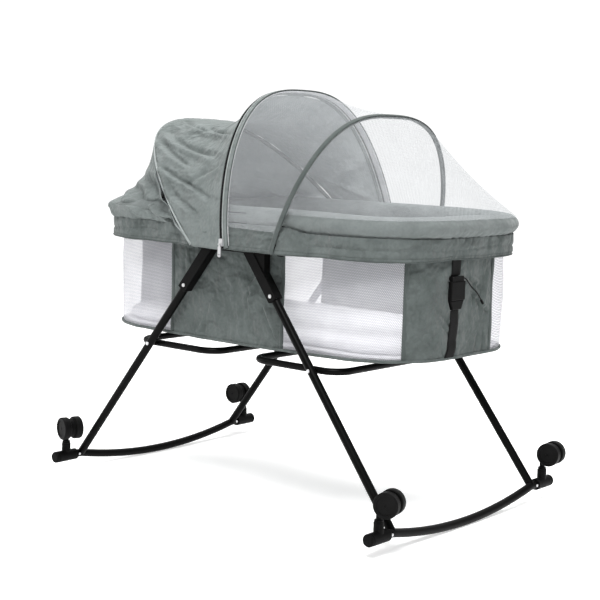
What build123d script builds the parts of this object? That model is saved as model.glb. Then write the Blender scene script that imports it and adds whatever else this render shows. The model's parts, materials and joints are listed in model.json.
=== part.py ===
"""Rocking bassinet on a folding stand, with a zipped hood and net.

Millimetres, +Z up.  The origin is on the floor under the middle of the bed.
+X points to the foot end, -X to the head end (hood), -Y is the front side.
"""
from build123d import *
import math
import os

os.makedirs("parts", exist_ok=True)

# ------------------------------------------------------------------ driving dimensions
TUBE_R = 8.0                 # 16 mm stand and rim tube
TUBE_WALL = 1.2
RUN_GAP = 0.05               # radial clearance of a pin or sleeve that turns
BODY_GAP = 0.4               # air between two bodies that move apart
FILLET_SHARE = 0.45          # share of the shorter run that a corner's arc may use

# stand
PIVOT_X = 22.0               # leg pivots, either side of the middle
PIVOT_Z = 528.5
LEG_TOP_Y = 220.0
FOOT_X = 405.0
FOOT_Y = 231.0
ROCKER_R = 1098.0
ROCKER_ARC_Y = 225.0         # half span of the rocker's big arc
ROCKER_BLEND_R = 60.0        # small reverse bend into the level end
ROCKER_END_Y = 296.0
SOCKET_W = 19.6
SOCKET_T = 19.6
SOCKET_ROUND = 3.0
SOCKET_L = 156.0
SOCKET_RIVET_U = 146.0       # distance of the leg rivet from the pivot
SOCKET_TUBE_U = 18.0         # where the leg tube starts inside its socket
PIVOT_BOLT_R = 4.0
GUSSET_OUTLINE = [            # x and z of the web beside a foot-end socket
    (45.0, 500.0),
    (92.0, 497.0),
    (93.0, 456.0),
    (102.0, 432.0),
    (124.0, 404.0),
    (110.0, 412.0),
]
GUSSET_INSET = 2.0           # the web is this much thinner on each face
RIVET_R = 2.0
RIVET_HEAD_R = 3.6
RIVET_HEAD_T = 1.4
HEAD_DOME = 0.7              # share of a rivet head's height that is rounded

# support loops under the bed
LOOP_R = 6.5
LOOP_WALL = 1.0
LOOP_Z = 288.0
LOOP_IN_X = 49.0
LOOP_OUT_X = 257.0
LOOP_HALF_Y = 210.0
LOOP_CORNER_R = 38.0
LOOP_PIN_R = 2.5
LOOP_END_GAP = 0.3           # the loop's tube ends stop this far from the middle
LOOP_PIN_PROUD = 0.1         # rivet heads start just outside the tube

# rocker end plugs
CAP_GAP = 0.2
CAP_T = 6.0
CAP_ROUND = 4.0
CAP_PLUG_L = 14.0
STOP_HEAD_R = 2.8            # small rivets that stop the caster sleeves
STOP_Y = 241.4

# bed outline: half length, half width and corner radius of each ring
TUBE_RING = (389.0, 214.0, 138.0)
RIM_Z = 551.0
PAD_HALF_W = 27.0
PAD_HALF_H = 21.0
SKIRT_RING = (397.0, 236.6, 150.0)
SKIRT_T = 2.0
SKIRT_Z = (495.0, 537.0)
TUB_RING = (390.0, 203.0, 130.0)
TUB_T = 2.5
TUB_Z = (320.0, 529.5)
FLOOR_T = 3.0
BOARD_T = 3.0
MATTRESS_T = 26.0
MATTRESS_ROUND = 8.0
MATTRESS_INSET = 5.0         # air round the mattress
BOARD_INSET = 3.0
LAYER_GAP = 0.3              # between floor, board and mattress
FRONT_PANEL_X = (-168.0, 117.0)
FOOT_PANEL_Y = (-156.0, 74.0)
PANEL_END_X = 300.0          # the end panels lie beyond this

# side hubs
HUB_HALF_X = 50.0
HUB_IN_Y = 203.6
HUB_OUT_Y = 234.4
CHEEK_T = 3.0
CHEEK_IN_Y = 206.0
CHEEK_BOTTOM_Z = 488.0
HUB_BLOCK_Z = (542.5, 562.0)
HUB_ROUND = 6.0
HUB_AIR = 0.5                # pad stuffing stays this far from a hub
BRACKET_HALF_X = 10.0

# hood and net bows: foot x, lean towards the head in degrees, height along the bow
BOW_FOOT_Z = 497.0
BOW_HALF_W = 257.0
BOW_WIRE_R = 2.5
REAR_BOW = (-66.0, 45.6, 333.0)
ZIP_BOW = (8.0, 9.6, 294.0)
NET_BOW = (135.0, -14.6, 257.0)
BOW_POWER_Y = 2.8
BOW_POWER_H = 1.7
BOW_PIN_R = 3.0
BOW_PIN_SHORT = 0.5          # bow pins end this far inside the wires' middle
BOW_LINK_R = 4.6             # half width of the flat links
BOW_LINK_T = 3.0
BOW_BOSS_R = 3.7             # boss that holds the end of a bow wire
BOW_BOSS_UP = (2.0, 16.0)    # where the boss lies along the wire
WIRE_COPE = 8.0              # half length of the cut that fits a wire to its foot
COVER_OUT = 3.0              # how far the cloth lies outside the bow's middle
COVER_CLEAR = 4.2            # cloth panels stop this far from a bow's plane
RIM_POWER = 3.2              # squarer rib where the cover meets the rim
RIM_EDGE_X = 432.0
RIM_EDGE_Z = 582.0
RIM_FOOT_SHIFT = 12.0        # keeps the rim rib's foot off the bow's foot
BOW_SPANS = 12
SHELL_T = 1.6
ZIP_W = 8.0
ZIP_T = 2.0
SEAM_GAP = 0.2               # between the zipper, the binding and the net

# zip slider and pull tab
SLIDER_W = 9.0
SLIDER_T = 5.0
SLIDER_ROUND = 2.0
BRIDGE_R = 1.0
POST_T = 0.9
BRIDGE_OUT = 7.2             # bridge's middle from the slider's inner face
BRIDGE_UP = 4.0
TAB_W = 7.0
TAB_T = 1.6
TAB_ROUND = 2.5
TAB_NECK = 4.0
TAB_NECK_W = 3.0
TAB_EYE_R = 1.8
TAB_HOLE_R = 1.6
PULL_L = 24.0

# casters on the rocker ends
CASTER_Y = 271.0
SLEEVE_R = 11.5
SLEEVE_Y = (246.0, 295.0)
BOSS_R = 9.0
BOSS_TOP = 27.0              # above the rocker end's axis
AXLE_UP = 61.5
TRAIL = 18.0
WHEEL_R = 23.0
WHEEL_W = 15.0
WHEEL_IN = 5.5               # wheel's inner face from the housing's middle
AXLE_R = 3.0
SWIVEL_PIN_R = 3.0
SLEEVE_ROUND = 1.5
PIN_FLOOR = 4.0              # wall between the rocker's bore and the swivel pin
BASE_T = 4.0
HOUSING_R = 19.0
AXLE_SHORT = 2.0             # the axle ends this far inside the wheel's face
NECK_UP = 24.0
WHEEL_ROUND = 2.5
DISH_DEPTH = 1.5
DISH_RIM = 6.0

# foot-end strap
STRAP_Y = -51.0
STRAP_W = 28.0
STRAP_T = 1.8
STRAP_X = 390.8
STRAP_LOW_Z = 334.0
BUCKLE_W = 44.0
BUCKLE_T = 10.0
BUCKLE_Z = (405.0, 422.0, 456.0, 465.0)  # plug's tip, joint, shoulder, throat's top
BUCKLE_STEP = 2.0            # the plug and the throat are this much thinner
BUCKLE_ROUND = 1.8
THROAT_W = 36.0
HOOK_H = 12.0
HOOK_T = 4.0
CORD_D = 2.4
CORD_TIP_L = 9.0
CORD_ROUTE = [
    (397.0, -33.0, 461.0),
    (397.0, -26.0, 461.0),
    (398.5, -16.5, 451.5),
    (399.0, -4.5, 441.0),
    (399.0, 8.0, 434.8),
    (399.0, 18.5, 425.5),
    (399.0, 27.0, 416.5),
]

# ------------------------------------------------------------------ worked-out values
ROCKER_SLOPE = math.asin(ROCKER_ARC_Y / ROCKER_R)
ROCKER_ARC_Z = TUBE_R + ROCKER_R * (1 - math.cos(ROCKER_SLOPE))
BLEND_CY = ROCKER_ARC_Y + ROCKER_BLEND_R * math.sin(ROCKER_SLOPE)
BLEND_CZ = ROCKER_ARC_Z - ROCKER_BLEND_R * math.cos(ROCKER_SLOPE)
END_Z = BLEND_CZ + ROCKER_BLEND_R
OUTER_LINK_Y = BOW_HALF_W - BOW_BOSS_R
INNER_LINK_Y = OUTER_LINK_Y - BODY_GAP - BOW_LINK_T
BOW_AXES_X = (REAR_BOW[0], NET_BOW[0])
SLIDER_X = ZIP_BOW[0] + COVER_CLEAR + ZIP_W / 2 - 1
SLIDER_Y = BOW_HALF_W + COVER_OUT + 0.6
SLIDER_Z = (499.0, 513.0)
PULL_PIN_Y = -SLIDER_Y - BRIDGE_OUT
PULL_PIN_Z = SLIDER_Z[0] + BRIDGE_UP
AXLE_DEG = {
    ("head", "front"): 75.0,
    ("head", "back"): 267.0,
    ("foot", "front"): 105.0,
    ("foot", "back"): 96.0,
}
SIDES = {"front": -1, "back": 1}
ENDS = {"head": -1, "foot": 1}


def save(name, *solids):
    """Write one node; several solids make a group."""
    shape = solids[0] if len(solids) == 1 else Compound(children=list(solids))
    export_step(shape, f"parts/{name}.step")


def block(x, y, z):
    """Box between the ends of three ranges."""
    low = Vector(min(x), min(y), min(z))
    high = Vector(max(x), max(y), max(z))
    size = high - low
    return Location((low + high) * 0.5) * Box(size.X, size.Y, size.Z)


def rod(start, end, radius):
    """Solid cylinder between two points."""
    axis = Vector(*end) - Vector(*start)
    plane = Plane(origin=start, z_dir=axis)
    return extrude(plane * Circle(radius), amount=axis.length)


def pipe(path, radius, wall=None):
    """Round bar, or tube with a wall, along a path."""
    plane = Plane(origin=path @ 0, z_dir=path % 0)
    section = plane * Circle(radius)
    if wall:
        section = section - plane * Circle(radius - wall)
    return sweep(section, path=path)


def turn_radii(points):
    """Fillet radii as large as the runs beside each corner allow."""
    radii = []
    for a, b, c in zip(points, points[1:], points[2:]):
        turn = math.radians((b - a).get_angle(c - b))
        radii.append(FILLET_SHARE * min((b - a).length, (c - b).length) / math.tan(turn / 2))
    return radii


def on_both_sides(shape):
    """The shape and its mirror image across the middle plane."""
    return shape, mirror(shape, about=Plane.XZ)


def one_solid(shape):
    """The single solid inside a boolean's result."""
    solids = shape.solids()
    return solids[0] if len(solids) == 1 else shape


# ------------------------------------------------------------------ stand
def rocker_path(x):
    """Centre line of one rocker: level end, reverse bend, big arc, and back."""
    half = ROCKER_SLOPE / 2
    bend_y = BLEND_CY - ROCKER_BLEND_R * math.sin(half)
    bend_z = BLEND_CZ + ROCKER_BLEND_R * math.cos(half)
    edges = []
    for side in (-1, 1):
        arc_end = (x, side * ROCKER_ARC_Y, ROCKER_ARC_Z)
        level_start = (x, side * BLEND_CY, END_Z)
        edges.append(Line((x, side * ROCKER_END_Y, END_Z), level_start))
        edges.append(ThreePointArc(level_start, (x, side * bend_y, bend_z), arc_end))
    near = (x, -ROCKER_ARC_Y, ROCKER_ARC_Z)
    far = (x, ROCKER_ARC_Y, ROCKER_ARC_Z)
    edges.append(ThreePointArc(near, (x, 0, TUBE_R), far))
    return Wire(edges)


def rocker_section(x, radius):
    return Plane(origin=(x, -ROCKER_END_Y, END_Z), z_dir=(0, 1, 0)) * Circle(radius)


def rocker_bar(end):
    """Solid rocker, used to cope the legs."""
    return sweep(rocker_section(end * FOOT_X, TUBE_R), path=rocker_path(end * FOOT_X))


def rocker_tube(end):
    x = end * FOOT_X
    section = rocker_section(x, TUBE_R) - rocker_section(x, TUBE_R - TUBE_WALL)
    tube = sweep(section, path=rocker_path(x))
    for side in SIDES.values():
        y = side * STOP_Y
        tube -= rod((x - SLEEVE_R, y, END_Z), (x + SLEEVE_R, y, END_Z), RIVET_R)
    return one_solid(tube)


def leg_line(end, side):
    """Pivot point, unit direction down the leg, and length to the rocker."""
    top = Vector(end * PIVOT_X, side * LEG_TOP_Y, PIVOT_Z)
    foot = Vector(end * FOOT_X, side * FOOT_Y, END_Z)
    return top, (foot - top).normalized(), (foot - top).length


def leg_point(end, side, z):
    """Point of the leg's centre line at height z."""
    top, way, _ = leg_line(end, side)
    return top + way * ((z - top.Z) / way.Z)


def across(way):
    """Unit vector through the leg, nearly along Y."""
    y_axis = Vector(0, 1, 0)
    return (y_axis - way * y_axis.dot(way)).normalized()


def leg_rivet_points(end, side):
    top, way, _ = leg_line(end, side)
    normal = across(way) * side
    return top + way * SOCKET_RIVET_U, normal


def loop_pin(end, side, radius):
    """Pivot pin of a support loop, through the leg and the loop."""
    x = leg_point(end, side, LOOP_Z).X
    inner = side * (LOOP_HALF_Y - LOOP_R - 1)
    outer = side * (leg_point(end, side, LOOP_Z).Y * side + TUBE_R + 0.5)
    return rod((x, inner, LOOP_Z), (x, outer, LOOP_Z), radius)


def leg_tube(end, side):
    top, way, length = leg_line(end, side)
    start = top + way * SOCKET_TUBE_U
    finish = top + way * length
    tube = rod(start, finish, TUBE_R) - rod(start, finish, TUBE_R - TUBE_WALL)
    point, normal = leg_rivet_points(end, side)
    tube -= rod(point - normal * SOCKET_T, point + normal * SOCKET_T, RIVET_R)
    tube -= loop_pin(end, side, LOOP_PIN_R)
    tube -= rocker_bar(end)
    solids = tube.solids().sort_by(SortBy.VOLUME)
    return solids[-1]


def gusset(side):
    """Web on the outer side of a foot-end socket, with an upright outer edge."""
    top, way, _ = leg_line(1, side)
    normal = across(way)
    points = []
    for x, z in GUSSET_OUTLINE:
        slope = (x - top.X) * normal.X + (z - top.Z) * normal.Z
        points.append((x, top.Y - slope / normal.Y, z))
    face = make_face(Polyline(*points, close=True))
    return extrude(face, amount=SOCKET_T / 2 - GUSSET_INSET, both=True)


def leg_socket(end, side):
    top, way, _ = leg_line(end, side)
    plane = Plane(origin=top, x_dir=way, z_dir=across(way))
    straight = Pos(SOCKET_L / 2, 0) * Rectangle(SOCKET_L, SOCKET_W)
    body = extrude(plane * (straight + Circle(SOCKET_W / 2)), amount=SOCKET_T / 2, both=True)
    body = fillet(body.edges().filter_by(GeomType.LINE).group_by(Axis.Z)[0], SOCKET_ROUND)
    if end > 0:
        body += gusset(side)
    body -= rod(top + way * SOCKET_TUBE_U, top + way * (SOCKET_L + SOCKET_W), TUBE_R + RUN_GAP)
    y_axis = Vector(0, SOCKET_T, 0)
    body -= rod(top - y_axis, top + y_axis, PIVOT_BOLT_R + RUN_GAP)
    point, normal = leg_rivet_points(end, side)
    body -= rod(point - normal * SOCKET_T, point + normal * SOCKET_T, RIVET_R)
    return one_solid(body)


def headed_pin(start, end, radius, head_r, head_t):
    """Pin with a domed head at each end, outside the two points."""
    way = (Vector(*end) - Vector(*start)).normalized()
    shaft = rod(start, end, radius)
    for point, out in ((Vector(*start), way * -1), (Vector(*end), way)):
        head = rod(point, point + out * head_t, head_r)
        rim = head.edges().filter_by(GeomType.CIRCLE).sort_by(lambda e: (e.center() - point).length)
        shaft += fillet(rim[-1], head_t * HEAD_DOME)
    return one_solid(shaft)


def rivets(end):
    """All rivets of one leg frame: sockets, loop pivots and sleeve stops."""
    group = []
    for side in SIDES.values():
        point, normal = leg_rivet_points(end, side)
        reach = normal * (SOCKET_T / 2)
        group.append(headed_pin(point - reach, point + reach, RIVET_R, RIVET_HEAD_R, RIVET_HEAD_T))
        at = leg_point(end, side, LOOP_Z)
        inner = Vector(at.X, side * (LOOP_HALF_Y - LOOP_R - BODY_GAP), LOOP_Z)
        outer = Vector(at.X, at.Y + side * (TUBE_R + LOOP_PIN_PROUD), LOOP_Z)
        group.append(headed_pin(inner, outer, LOOP_PIN_R, RIVET_HEAD_R, RIVET_HEAD_T))
        y = side * STOP_Y
        x = end * FOOT_X
        left = Vector(x - TUBE_R, y, END_Z)
        right = Vector(x + TUBE_R, y, END_Z)
        group.append(headed_pin(left, right, RIVET_R, STOP_HEAD_R, RIVET_HEAD_T))
    return group


def rocker_cap(end, side):
    """Domed plug that closes a rocker end and keeps the sleeve on."""
    x = end * FOOT_X
    face_y = ROCKER_END_Y + CAP_GAP
    disc = rod((x, side * face_y, END_Z), (x, side * (face_y + CAP_T), END_Z), SLEEVE_R)
    rim = disc.edges().filter_by(GeomType.CIRCLE).sort_by(Axis.Y)[-1 if side > 0 else 0]
    disc = fillet(rim, CAP_ROUND)
    plug_r = TUBE_R - TUBE_WALL - RUN_GAP
    plug = rod((x, side * (face_y - CAP_PLUG_L), END_Z), (x, side * face_y, END_Z), plug_r)
    return one_solid(disc + plug)


def support_loop(end):
    """Bent tube ring that carries the bed floor; its ends meet at the inner bar."""
    gap = LOOP_END_GAP
    near = [(LOOP_IN_X, -gap), (LOOP_IN_X, -LOOP_HALF_Y), (LOOP_OUT_X, -LOOP_HALF_Y)]
    far = [(x, -y) for x, y in reversed(near)]
    points = [(end * x, y, LOOP_Z) for x, y in near + far]
    path = FilletPolyline(*points, radius=LOOP_CORNER_R)
    loop = pipe(path, LOOP_R, LOOP_WALL)
    for side in SIDES.values():
        loop -= loop_pin(end, side, LOOP_PIN_R + RUN_GAP)
    return one_solid(loop)


# ------------------------------------------------------------------ bed
def ring_path(end):
    """Half of the rim's centre line, from the front hub round to the back hub."""
    half_x, half_y, corner = TUBE_RING
    points = [(0, -half_y), (end * half_x, -half_y), (end * half_x, half_y), (0, half_y)]
    return FilletPolyline(*[(x, y, RIM_Z) for x, y in points], radius=corner)


def slab(ring, z, inset=0.0):
    """Rounded rectangle between two heights."""
    half_x, half_y, corner = ring
    outline = RectangleRounded(2 * (half_x - inset), 2 * (half_y - inset), corner - inset)
    return extrude(Pos(0, 0, z[0]) * outline, amount=z[1] - z[0])


def wall(ring, thickness, z):
    return slab(ring, z) - slab(ring, z, thickness)


def hub_space(x, margin=HUB_AIR):
    """Room that a hub or bracket takes out of the pad, on both sides."""
    group = []
    for side in SIDES.values():
        y = (side * (HUB_IN_Y - margin), side * (HUB_OUT_Y + margin))
        top = HUB_BLOCK_Z[1] + margin
        group.append(block((x[0] - margin, x[1] + margin), y, (CHEEK_BOTTOM_Z, top)))
    return group


def rim_roll(bore=0.0):
    """Padded roll around the rim tube, before the hubs are let in."""
    path = ring_path(1)
    plane = Plane(origin=path @ 0, x_dir=(0, 1, 0), z_dir=path % 0)
    section = plane * Ellipse(PAD_HALF_W, PAD_HALF_H)
    if bore:
        section -= plane * Circle(bore)
    half = sweep(section, path=path)
    return half + mirror(half, about=Plane.YZ)


def rim_pad():
    pad = rim_roll(TUBE_R + RUN_GAP)
    for x in [(-HUB_HALF_X, HUB_HALF_X)] + [bracket_x(at) for at in BOW_AXES_X]:
        for space in hub_space(x):
            pad -= space
    return one_solid(pad)


def hub(x, bores):
    """Hub or bracket on the back rim tube, with two cheeks that hang down."""
    y_block = (HUB_IN_Y, HUB_OUT_Y)
    body = block(x, y_block, HUB_BLOCK_Z)
    cheek_z = (CHEEK_BOTTOM_Z, HUB_BLOCK_Z[0])
    body += block(x, (HUB_OUT_Y - CHEEK_T, HUB_OUT_Y), cheek_z)
    if len(bores) > 1:
        body += block(x, (CHEEK_IN_Y, CHEEK_IN_Y + CHEEK_T), cheek_z)
    body = fillet(body.edges().filter_by(Axis.Y).group_by(Axis.Z)[0], HUB_ROUND)
    body -= rod((x[0] - 1, TUBE_RING[1], RIM_Z), (x[1] + 1, TUBE_RING[1], RIM_Z), TUBE_R + RUN_GAP)
    for bore_x, bore_z, radius in bores:
        body -= rod((bore_x, HUB_IN_Y - 1, bore_z), (bore_x, HUB_OUT_Y + 1, bore_z), radius)
    return one_solid(body)


def side_hub():
    bores = [(end * PIVOT_X, PIVOT_Z, PIVOT_BOLT_R) for end in ENDS.values()]
    return hub((-HUB_HALF_X, HUB_HALF_X), bores)


def bracket_x(at):
    return (at - BRACKET_HALF_X, at + BRACKET_HALF_X)


def bow_brackets():
    """Clips on the rim tube that hold the pins of the hood and net bows."""
    group = []
    for at in BOW_AXES_X:
        group.extend(on_both_sides(hub(bracket_x(at), [(at, BOW_FOOT_Z, BOW_PIN_R)])))
    return group


def pivot_bolts():
    """Leg bolts and the pins that the hood and net bows turn on."""
    group = []
    for side in SIDES.values():
        for end in ENDS.values():
            x = end * PIVOT_X
            inner = Vector(x, side * CHEEK_IN_Y, PIVOT_Z)
            outer = Vector(x, side * HUB_OUT_Y, PIVOT_Z)
            group.append(rod(inner, outer, PIVOT_BOLT_R))
        for x in BOW_AXES_X:
            inner = Vector(x, side * (HUB_OUT_Y - CHEEK_T), BOW_FOOT_Z)
            outer = Vector(x, side * (BOW_HALF_W - BOW_PIN_SHORT), BOW_FOOT_Z)
            group.append(rod(inner, outer, BOW_PIN_R))
    return group


def rim_skirt():
    skirt = wall(SKIRT_RING, SKIRT_T, SKIRT_Z) - rim_roll()
    slot = BOW_PIN_R + 1
    for x in BOW_AXES_X:
        slot_y = (-SKIRT_RING[1] - 1, SKIRT_RING[1] + 1)
        skirt -= block((x - slot, x + slot), slot_y, (SKIRT_Z[0] - 1, BOW_FOOT_Z + slot))
    return one_solid(skirt)


def panel_masks():
    """Where each cloth panel of the tub wall is; mesh fills the rest."""
    far = TUB_RING[0] + 10
    z = (TUB_Z[0] - 1, TUB_Z[1] + 1)
    front_x = FRONT_PANEL_X
    foot_y = FOOT_PANEL_Y
    return {
        "front_panel": block(front_x, (-far, 0), z),
        "back_panel": block((-front_x[1], -front_x[0]), (0, far), z),
        "foot_panel": block((PANEL_END_X, far), foot_y, z),
        "head_panel": block((-far, -PANEL_END_X), (-foot_y[1], -foot_y[0]), z),
    }


def tub_walls():
    whole = wall(TUB_RING, TUB_T, TUB_Z)
    nodes = {}
    mesh = whole
    for name, mask in panel_masks().items():
        nodes[name] = [one_solid(whole & mask)]
        mesh -= mask
    nodes["mesh_windows"] = mesh.solids()
    return nodes


def mattress():
    bottom = TUB_Z[0] + BOARD_T + 2 * LAYER_GAP
    pad = slab(TUB_RING, (bottom, bottom + MATTRESS_T), TUB_T + MATTRESS_INSET)
    top = pad.edges().group_by(Axis.Z)[-1]
    return fillet(top, MATTRESS_ROUND)


# ------------------------------------------------------------------ foot-end strap
def strap_piece(z):
    y = (STRAP_Y - STRAP_W / 2, STRAP_Y + STRAP_W / 2)
    return block((STRAP_X, STRAP_X + STRAP_T), y, z)


def buckle_half(low_w, high_w, z, depth):
    """Plastic plate whose width may change from its lower to its upper edge."""
    corners = [(-low_w / 2, z[0]), (low_w / 2, z[0]), (high_w / 2, z[1]), (-high_w / 2, z[1])]
    points = [(STRAP_X, STRAP_Y + y, height) for y, height in corners]
    half = extrude(make_face(Polyline(*points, close=True)), amount=depth, dir=(1, 0, 0))
    front = half.faces().sort_by(Axis.X)[-1]
    return fillet(front.edges(), BUCKLE_ROUND)


def buckle_socket():
    """Upper half: wide body and a narrow throat where the webbing enters."""
    body = buckle_half(BUCKLE_W, BUCKLE_W, BUCKLE_Z[1:3], BUCKLE_T)
    x = (STRAP_X, STRAP_X + BUCKLE_T - BUCKLE_STEP)
    throat_y = (STRAP_Y - THROAT_W / 2, STRAP_Y + THROAT_W / 2)
    throat_z = (BUCKLE_Z[2] - BUCKLE_STEP, BUCKLE_Z[3])
    return one_solid(body + block(x, throat_y, throat_z))


def strap_hook():
    """Flat loop that the strap's tail turns round above the bottom seam."""
    width = STRAP_W + BUCKLE_STEP
    return buckle_half(width, width, (STRAP_LOW_Z - HOOK_H, STRAP_LOW_Z), HOOK_T)


def cord_path():
    """Straight runs joined by arcs as large as the runs allow."""
    points = [Vector(*p) for p in CORD_ROUTE]
    radii = turn_radii(points)
    print("cord radii", [round(r, 1) for r in radii])
    return FilletPolyline(*CORD_ROUTE, radius=radii)


# ------------------------------------------------------------------ hood and net
def rib_points(rib, shrink=0.0, along=0.0):
    """Control points of one rib, front foot to back foot.

    rib is (foot x, foot z, lean, half width, height, power in y, power in h);
    shrink moves the rib inwards, along moves it along the bow plane's normal.
    """
    foot_x, foot_z, lean, half_w, height, power_y, power_h = rib
    tilt = math.radians(lean)
    shift = Vector(math.cos(tilt), 0, math.sin(tilt)) * along
    points = []
    for step in range(BOW_SPANS + 1):
        turn = math.pi * step / BOW_SPANS
        cosine = math.cos(turn)
        y = -math.copysign(abs(cosine) ** (2 / power_y), cosine) * (half_w - shrink)
        h = math.sin(turn) ** (2 / power_h) if 0 < step < BOW_SPANS else 0.0
        h *= height - shrink
        point = Vector(foot_x - h * math.sin(tilt), y, foot_z + h * math.cos(tilt))
        points.append(point + shift)
    return points


def arc_chain(points):
    """Tangent arcs whose middles pass through the inner points."""
    corners = list(points)
    for _ in range(4):
        radii = turn_radii(corners)
        moved = [points[0]]
        for i, radius in enumerate(radii, start=1):
            before = (corners[i] - corners[i - 1]).normalized()
            after = (corners[i + 1] - corners[i]).normalized()
            half = math.radians(before.get_angle(after)) / 2
            out = (before - after).normalized()
            moved.append(points[i] + out * (radius * (1 / math.cos(half) - 1)))
        corners = moved + [points[-1]]
    return FilletPolyline(*corners, radius=turn_radii(corners))


def bow_rib(bow, out=0.0):
    foot_x, lean, height = bow
    half_w = BOW_HALF_W + out
    return (foot_x, BOW_FOOT_Z, lean, half_w, height + out, BOW_POWER_Y, BOW_POWER_H)


def rim_rib(foot_x, end):
    """Rib that follows the rim just above and outside the pad."""
    foot_x += end * RIM_FOOT_SHIFT
    run = end * RIM_EDGE_X - foot_x
    rise = RIM_EDGE_Z - BOW_FOOT_Z
    lean = math.degrees(math.atan2(-run, rise))
    half_w = BOW_HALF_W + COVER_OUT
    return (foot_x, BOW_FOOT_Z, lean, half_w, math.hypot(run, rise), RIM_POWER, RIM_POWER)


def rib_face(rib, along, thickness=SHELL_T):
    outer = arc_chain(rib_points(rib, 0, along))
    inner = arc_chain(rib_points(rib, thickness, along))
    edges = [outer, Line(outer @ 0, inner @ 0), inner, Line(outer @ 1, inner @ 1)]
    return make_face(Wire([e for part in edges for e in part.edges()]))


def shell(rib_a, along_a, rib_b, along_b):
    """Thin skin stretched between two ribs."""
    return loft([rib_face(rib_a, along_a), rib_face(rib_b, along_b)], ruled=True)


def bow_wire(bow):
    """Sprung wire that stands on its two plastic feet."""
    points = rib_points(bow_rib(bow))
    wire = pipe(arc_chain(points), BOW_WIRE_R)
    reach = Vector(0, WIRE_COPE, 0)
    for foot in (points[0], points[-1]):
        wire -= rod(foot - reach, foot + reach, BOW_LINK_R)
    return wire.solids().sort_by(SortBy.VOLUME)[-1]


def band(bow, start, width, thickness):
    """Flat strip beside a bow: the zipper or the net's binding."""
    tilt = math.radians(bow[1])
    normal = Vector(math.cos(tilt), 0, math.sin(tilt))
    return extrude(rib_face(bow_rib(bow, COVER_OUT), start, thickness), amount=width, dir=normal)


def bow_feet(bow, axis_x, link_y):
    """Two plastic feet: a link from the hinge pin and a boss that holds the wire."""
    points = rib_points(bow_rib(bow))
    foot = points[-1]
    up = (arc_chain(points) % 1) * -1
    stop_y = foot.Y + BOW_PIN_SHORT
    body = rod((foot.X, link_y, BOW_FOOT_Z), (foot.X, stop_y, BOW_FOOT_Z), BOW_LINK_R)
    body += rod(foot + up * BOW_BOSS_UP[0], foot + up * BOW_BOSS_UP[1], BOW_BOSS_R)
    if foot.X != axis_x:
        y = (link_y, link_y + BOW_LINK_T)
        z = (BOW_FOOT_Z - BOW_LINK_R, BOW_FOOT_Z + BOW_LINK_R)
        body += block((axis_x, foot.X), y, z)
        body += rod((axis_x, y[0], BOW_FOOT_Z), (axis_x, y[1], BOW_FOOT_Z), BOW_LINK_R)
    body -= bow_wire(bow)
    bore = (axis_x, link_y - 1, BOW_FOOT_Z)
    body -= rod(bore, (axis_x, stop_y - BOW_PIN_SHORT, BOW_FOOT_Z), BOW_PIN_R + RUN_GAP)
    return on_both_sides(one_solid(body))


def zip_slider():
    """Slider body on the outside of the zipper, near its front foot."""
    x = SLIDER_X
    y = (-SLIDER_Y, -SLIDER_Y - SLIDER_T)
    body = block((x - SLIDER_W / 2, x + SLIDER_W / 2), y, SLIDER_Z)
    body = fillet(body.edges().filter_by(Axis.Y), SLIDER_ROUND)
    half = TAB_W / 2
    bridge = ((x - half, PULL_PIN_Y, PULL_PIN_Z), (x + half, PULL_PIN_Y, PULL_PIN_Z))
    body += rod(*bridge, BRIDGE_R)
    for way in (-1, 1):
        post_x = (x + way * (half - POST_T), x + way * half)
        post_y = (y[1] + BRIDGE_R, PULL_PIN_Y - BRIDGE_R)
        body += block(post_x, post_y, (PULL_PIN_Z - BRIDGE_R, PULL_PIN_Z + BRIDGE_R))
    return one_solid(body)


def zip_pull():
    """Flat tab that hangs from the slider's bridge."""
    x = SLIDER_X
    y = (PULL_PIN_Y - TAB_T / 2, PULL_PIN_Y + TAB_T / 2)
    half, neck = TAB_W / 2, TAB_NECK_W / 2
    tab = block((x - half, x + half), y, (PULL_PIN_Z - PULL_L, PULL_PIN_Z - TAB_NECK))
    tab = fillet(tab.edges().filter_by(Axis.Y), TAB_ROUND)
    tab += block((x - neck, x + neck), y, (PULL_PIN_Z - TAB_NECK - 1, PULL_PIN_Z))
    pin = ((x - neck, PULL_PIN_Y, PULL_PIN_Z), (x + neck, PULL_PIN_Y, PULL_PIN_Z))
    tab += rod(*pin, TAB_EYE_R)
    tab -= rod(*pin, BRIDGE_R + RUN_GAP)
    hole_z = PULL_PIN_Z - PULL_L + TAB_W * 0.7
    tab -= rod((x, y[0] - 1, hole_z), (x, y[1] + 1, hole_z), TAB_HOLE_R)
    return one_solid(tab)


# ------------------------------------------------------------------ casters
def caster_sleeve(end, side):
    """Sleeve that turns on the rocker's end and carries the swivel boss."""
    x = end * FOOT_X
    y = side * CASTER_Y
    y0, y1 = (side * v for v in SLEEVE_Y)
    body = rod((x, y0, END_Z), (x, y1, END_Z), SLEEVE_R)
    body = fillet(body.edges().filter_by(GeomType.CIRCLE), SLEEVE_ROUND)
    body += rod((x, y, END_Z), (x, y, END_Z + BOSS_TOP), BOSS_R)
    body -= rod((x, y0 - side, END_Z), (x, y1 + side, END_Z), TUBE_R + RUN_GAP)
    pin_low = END_Z + TUBE_R + PIN_FLOOR
    body -= rod((x, y, pin_low), (x, y, END_Z + BOSS_TOP + 1), SWIVEL_PIN_R + RUN_GAP)
    return one_solid(body)


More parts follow.
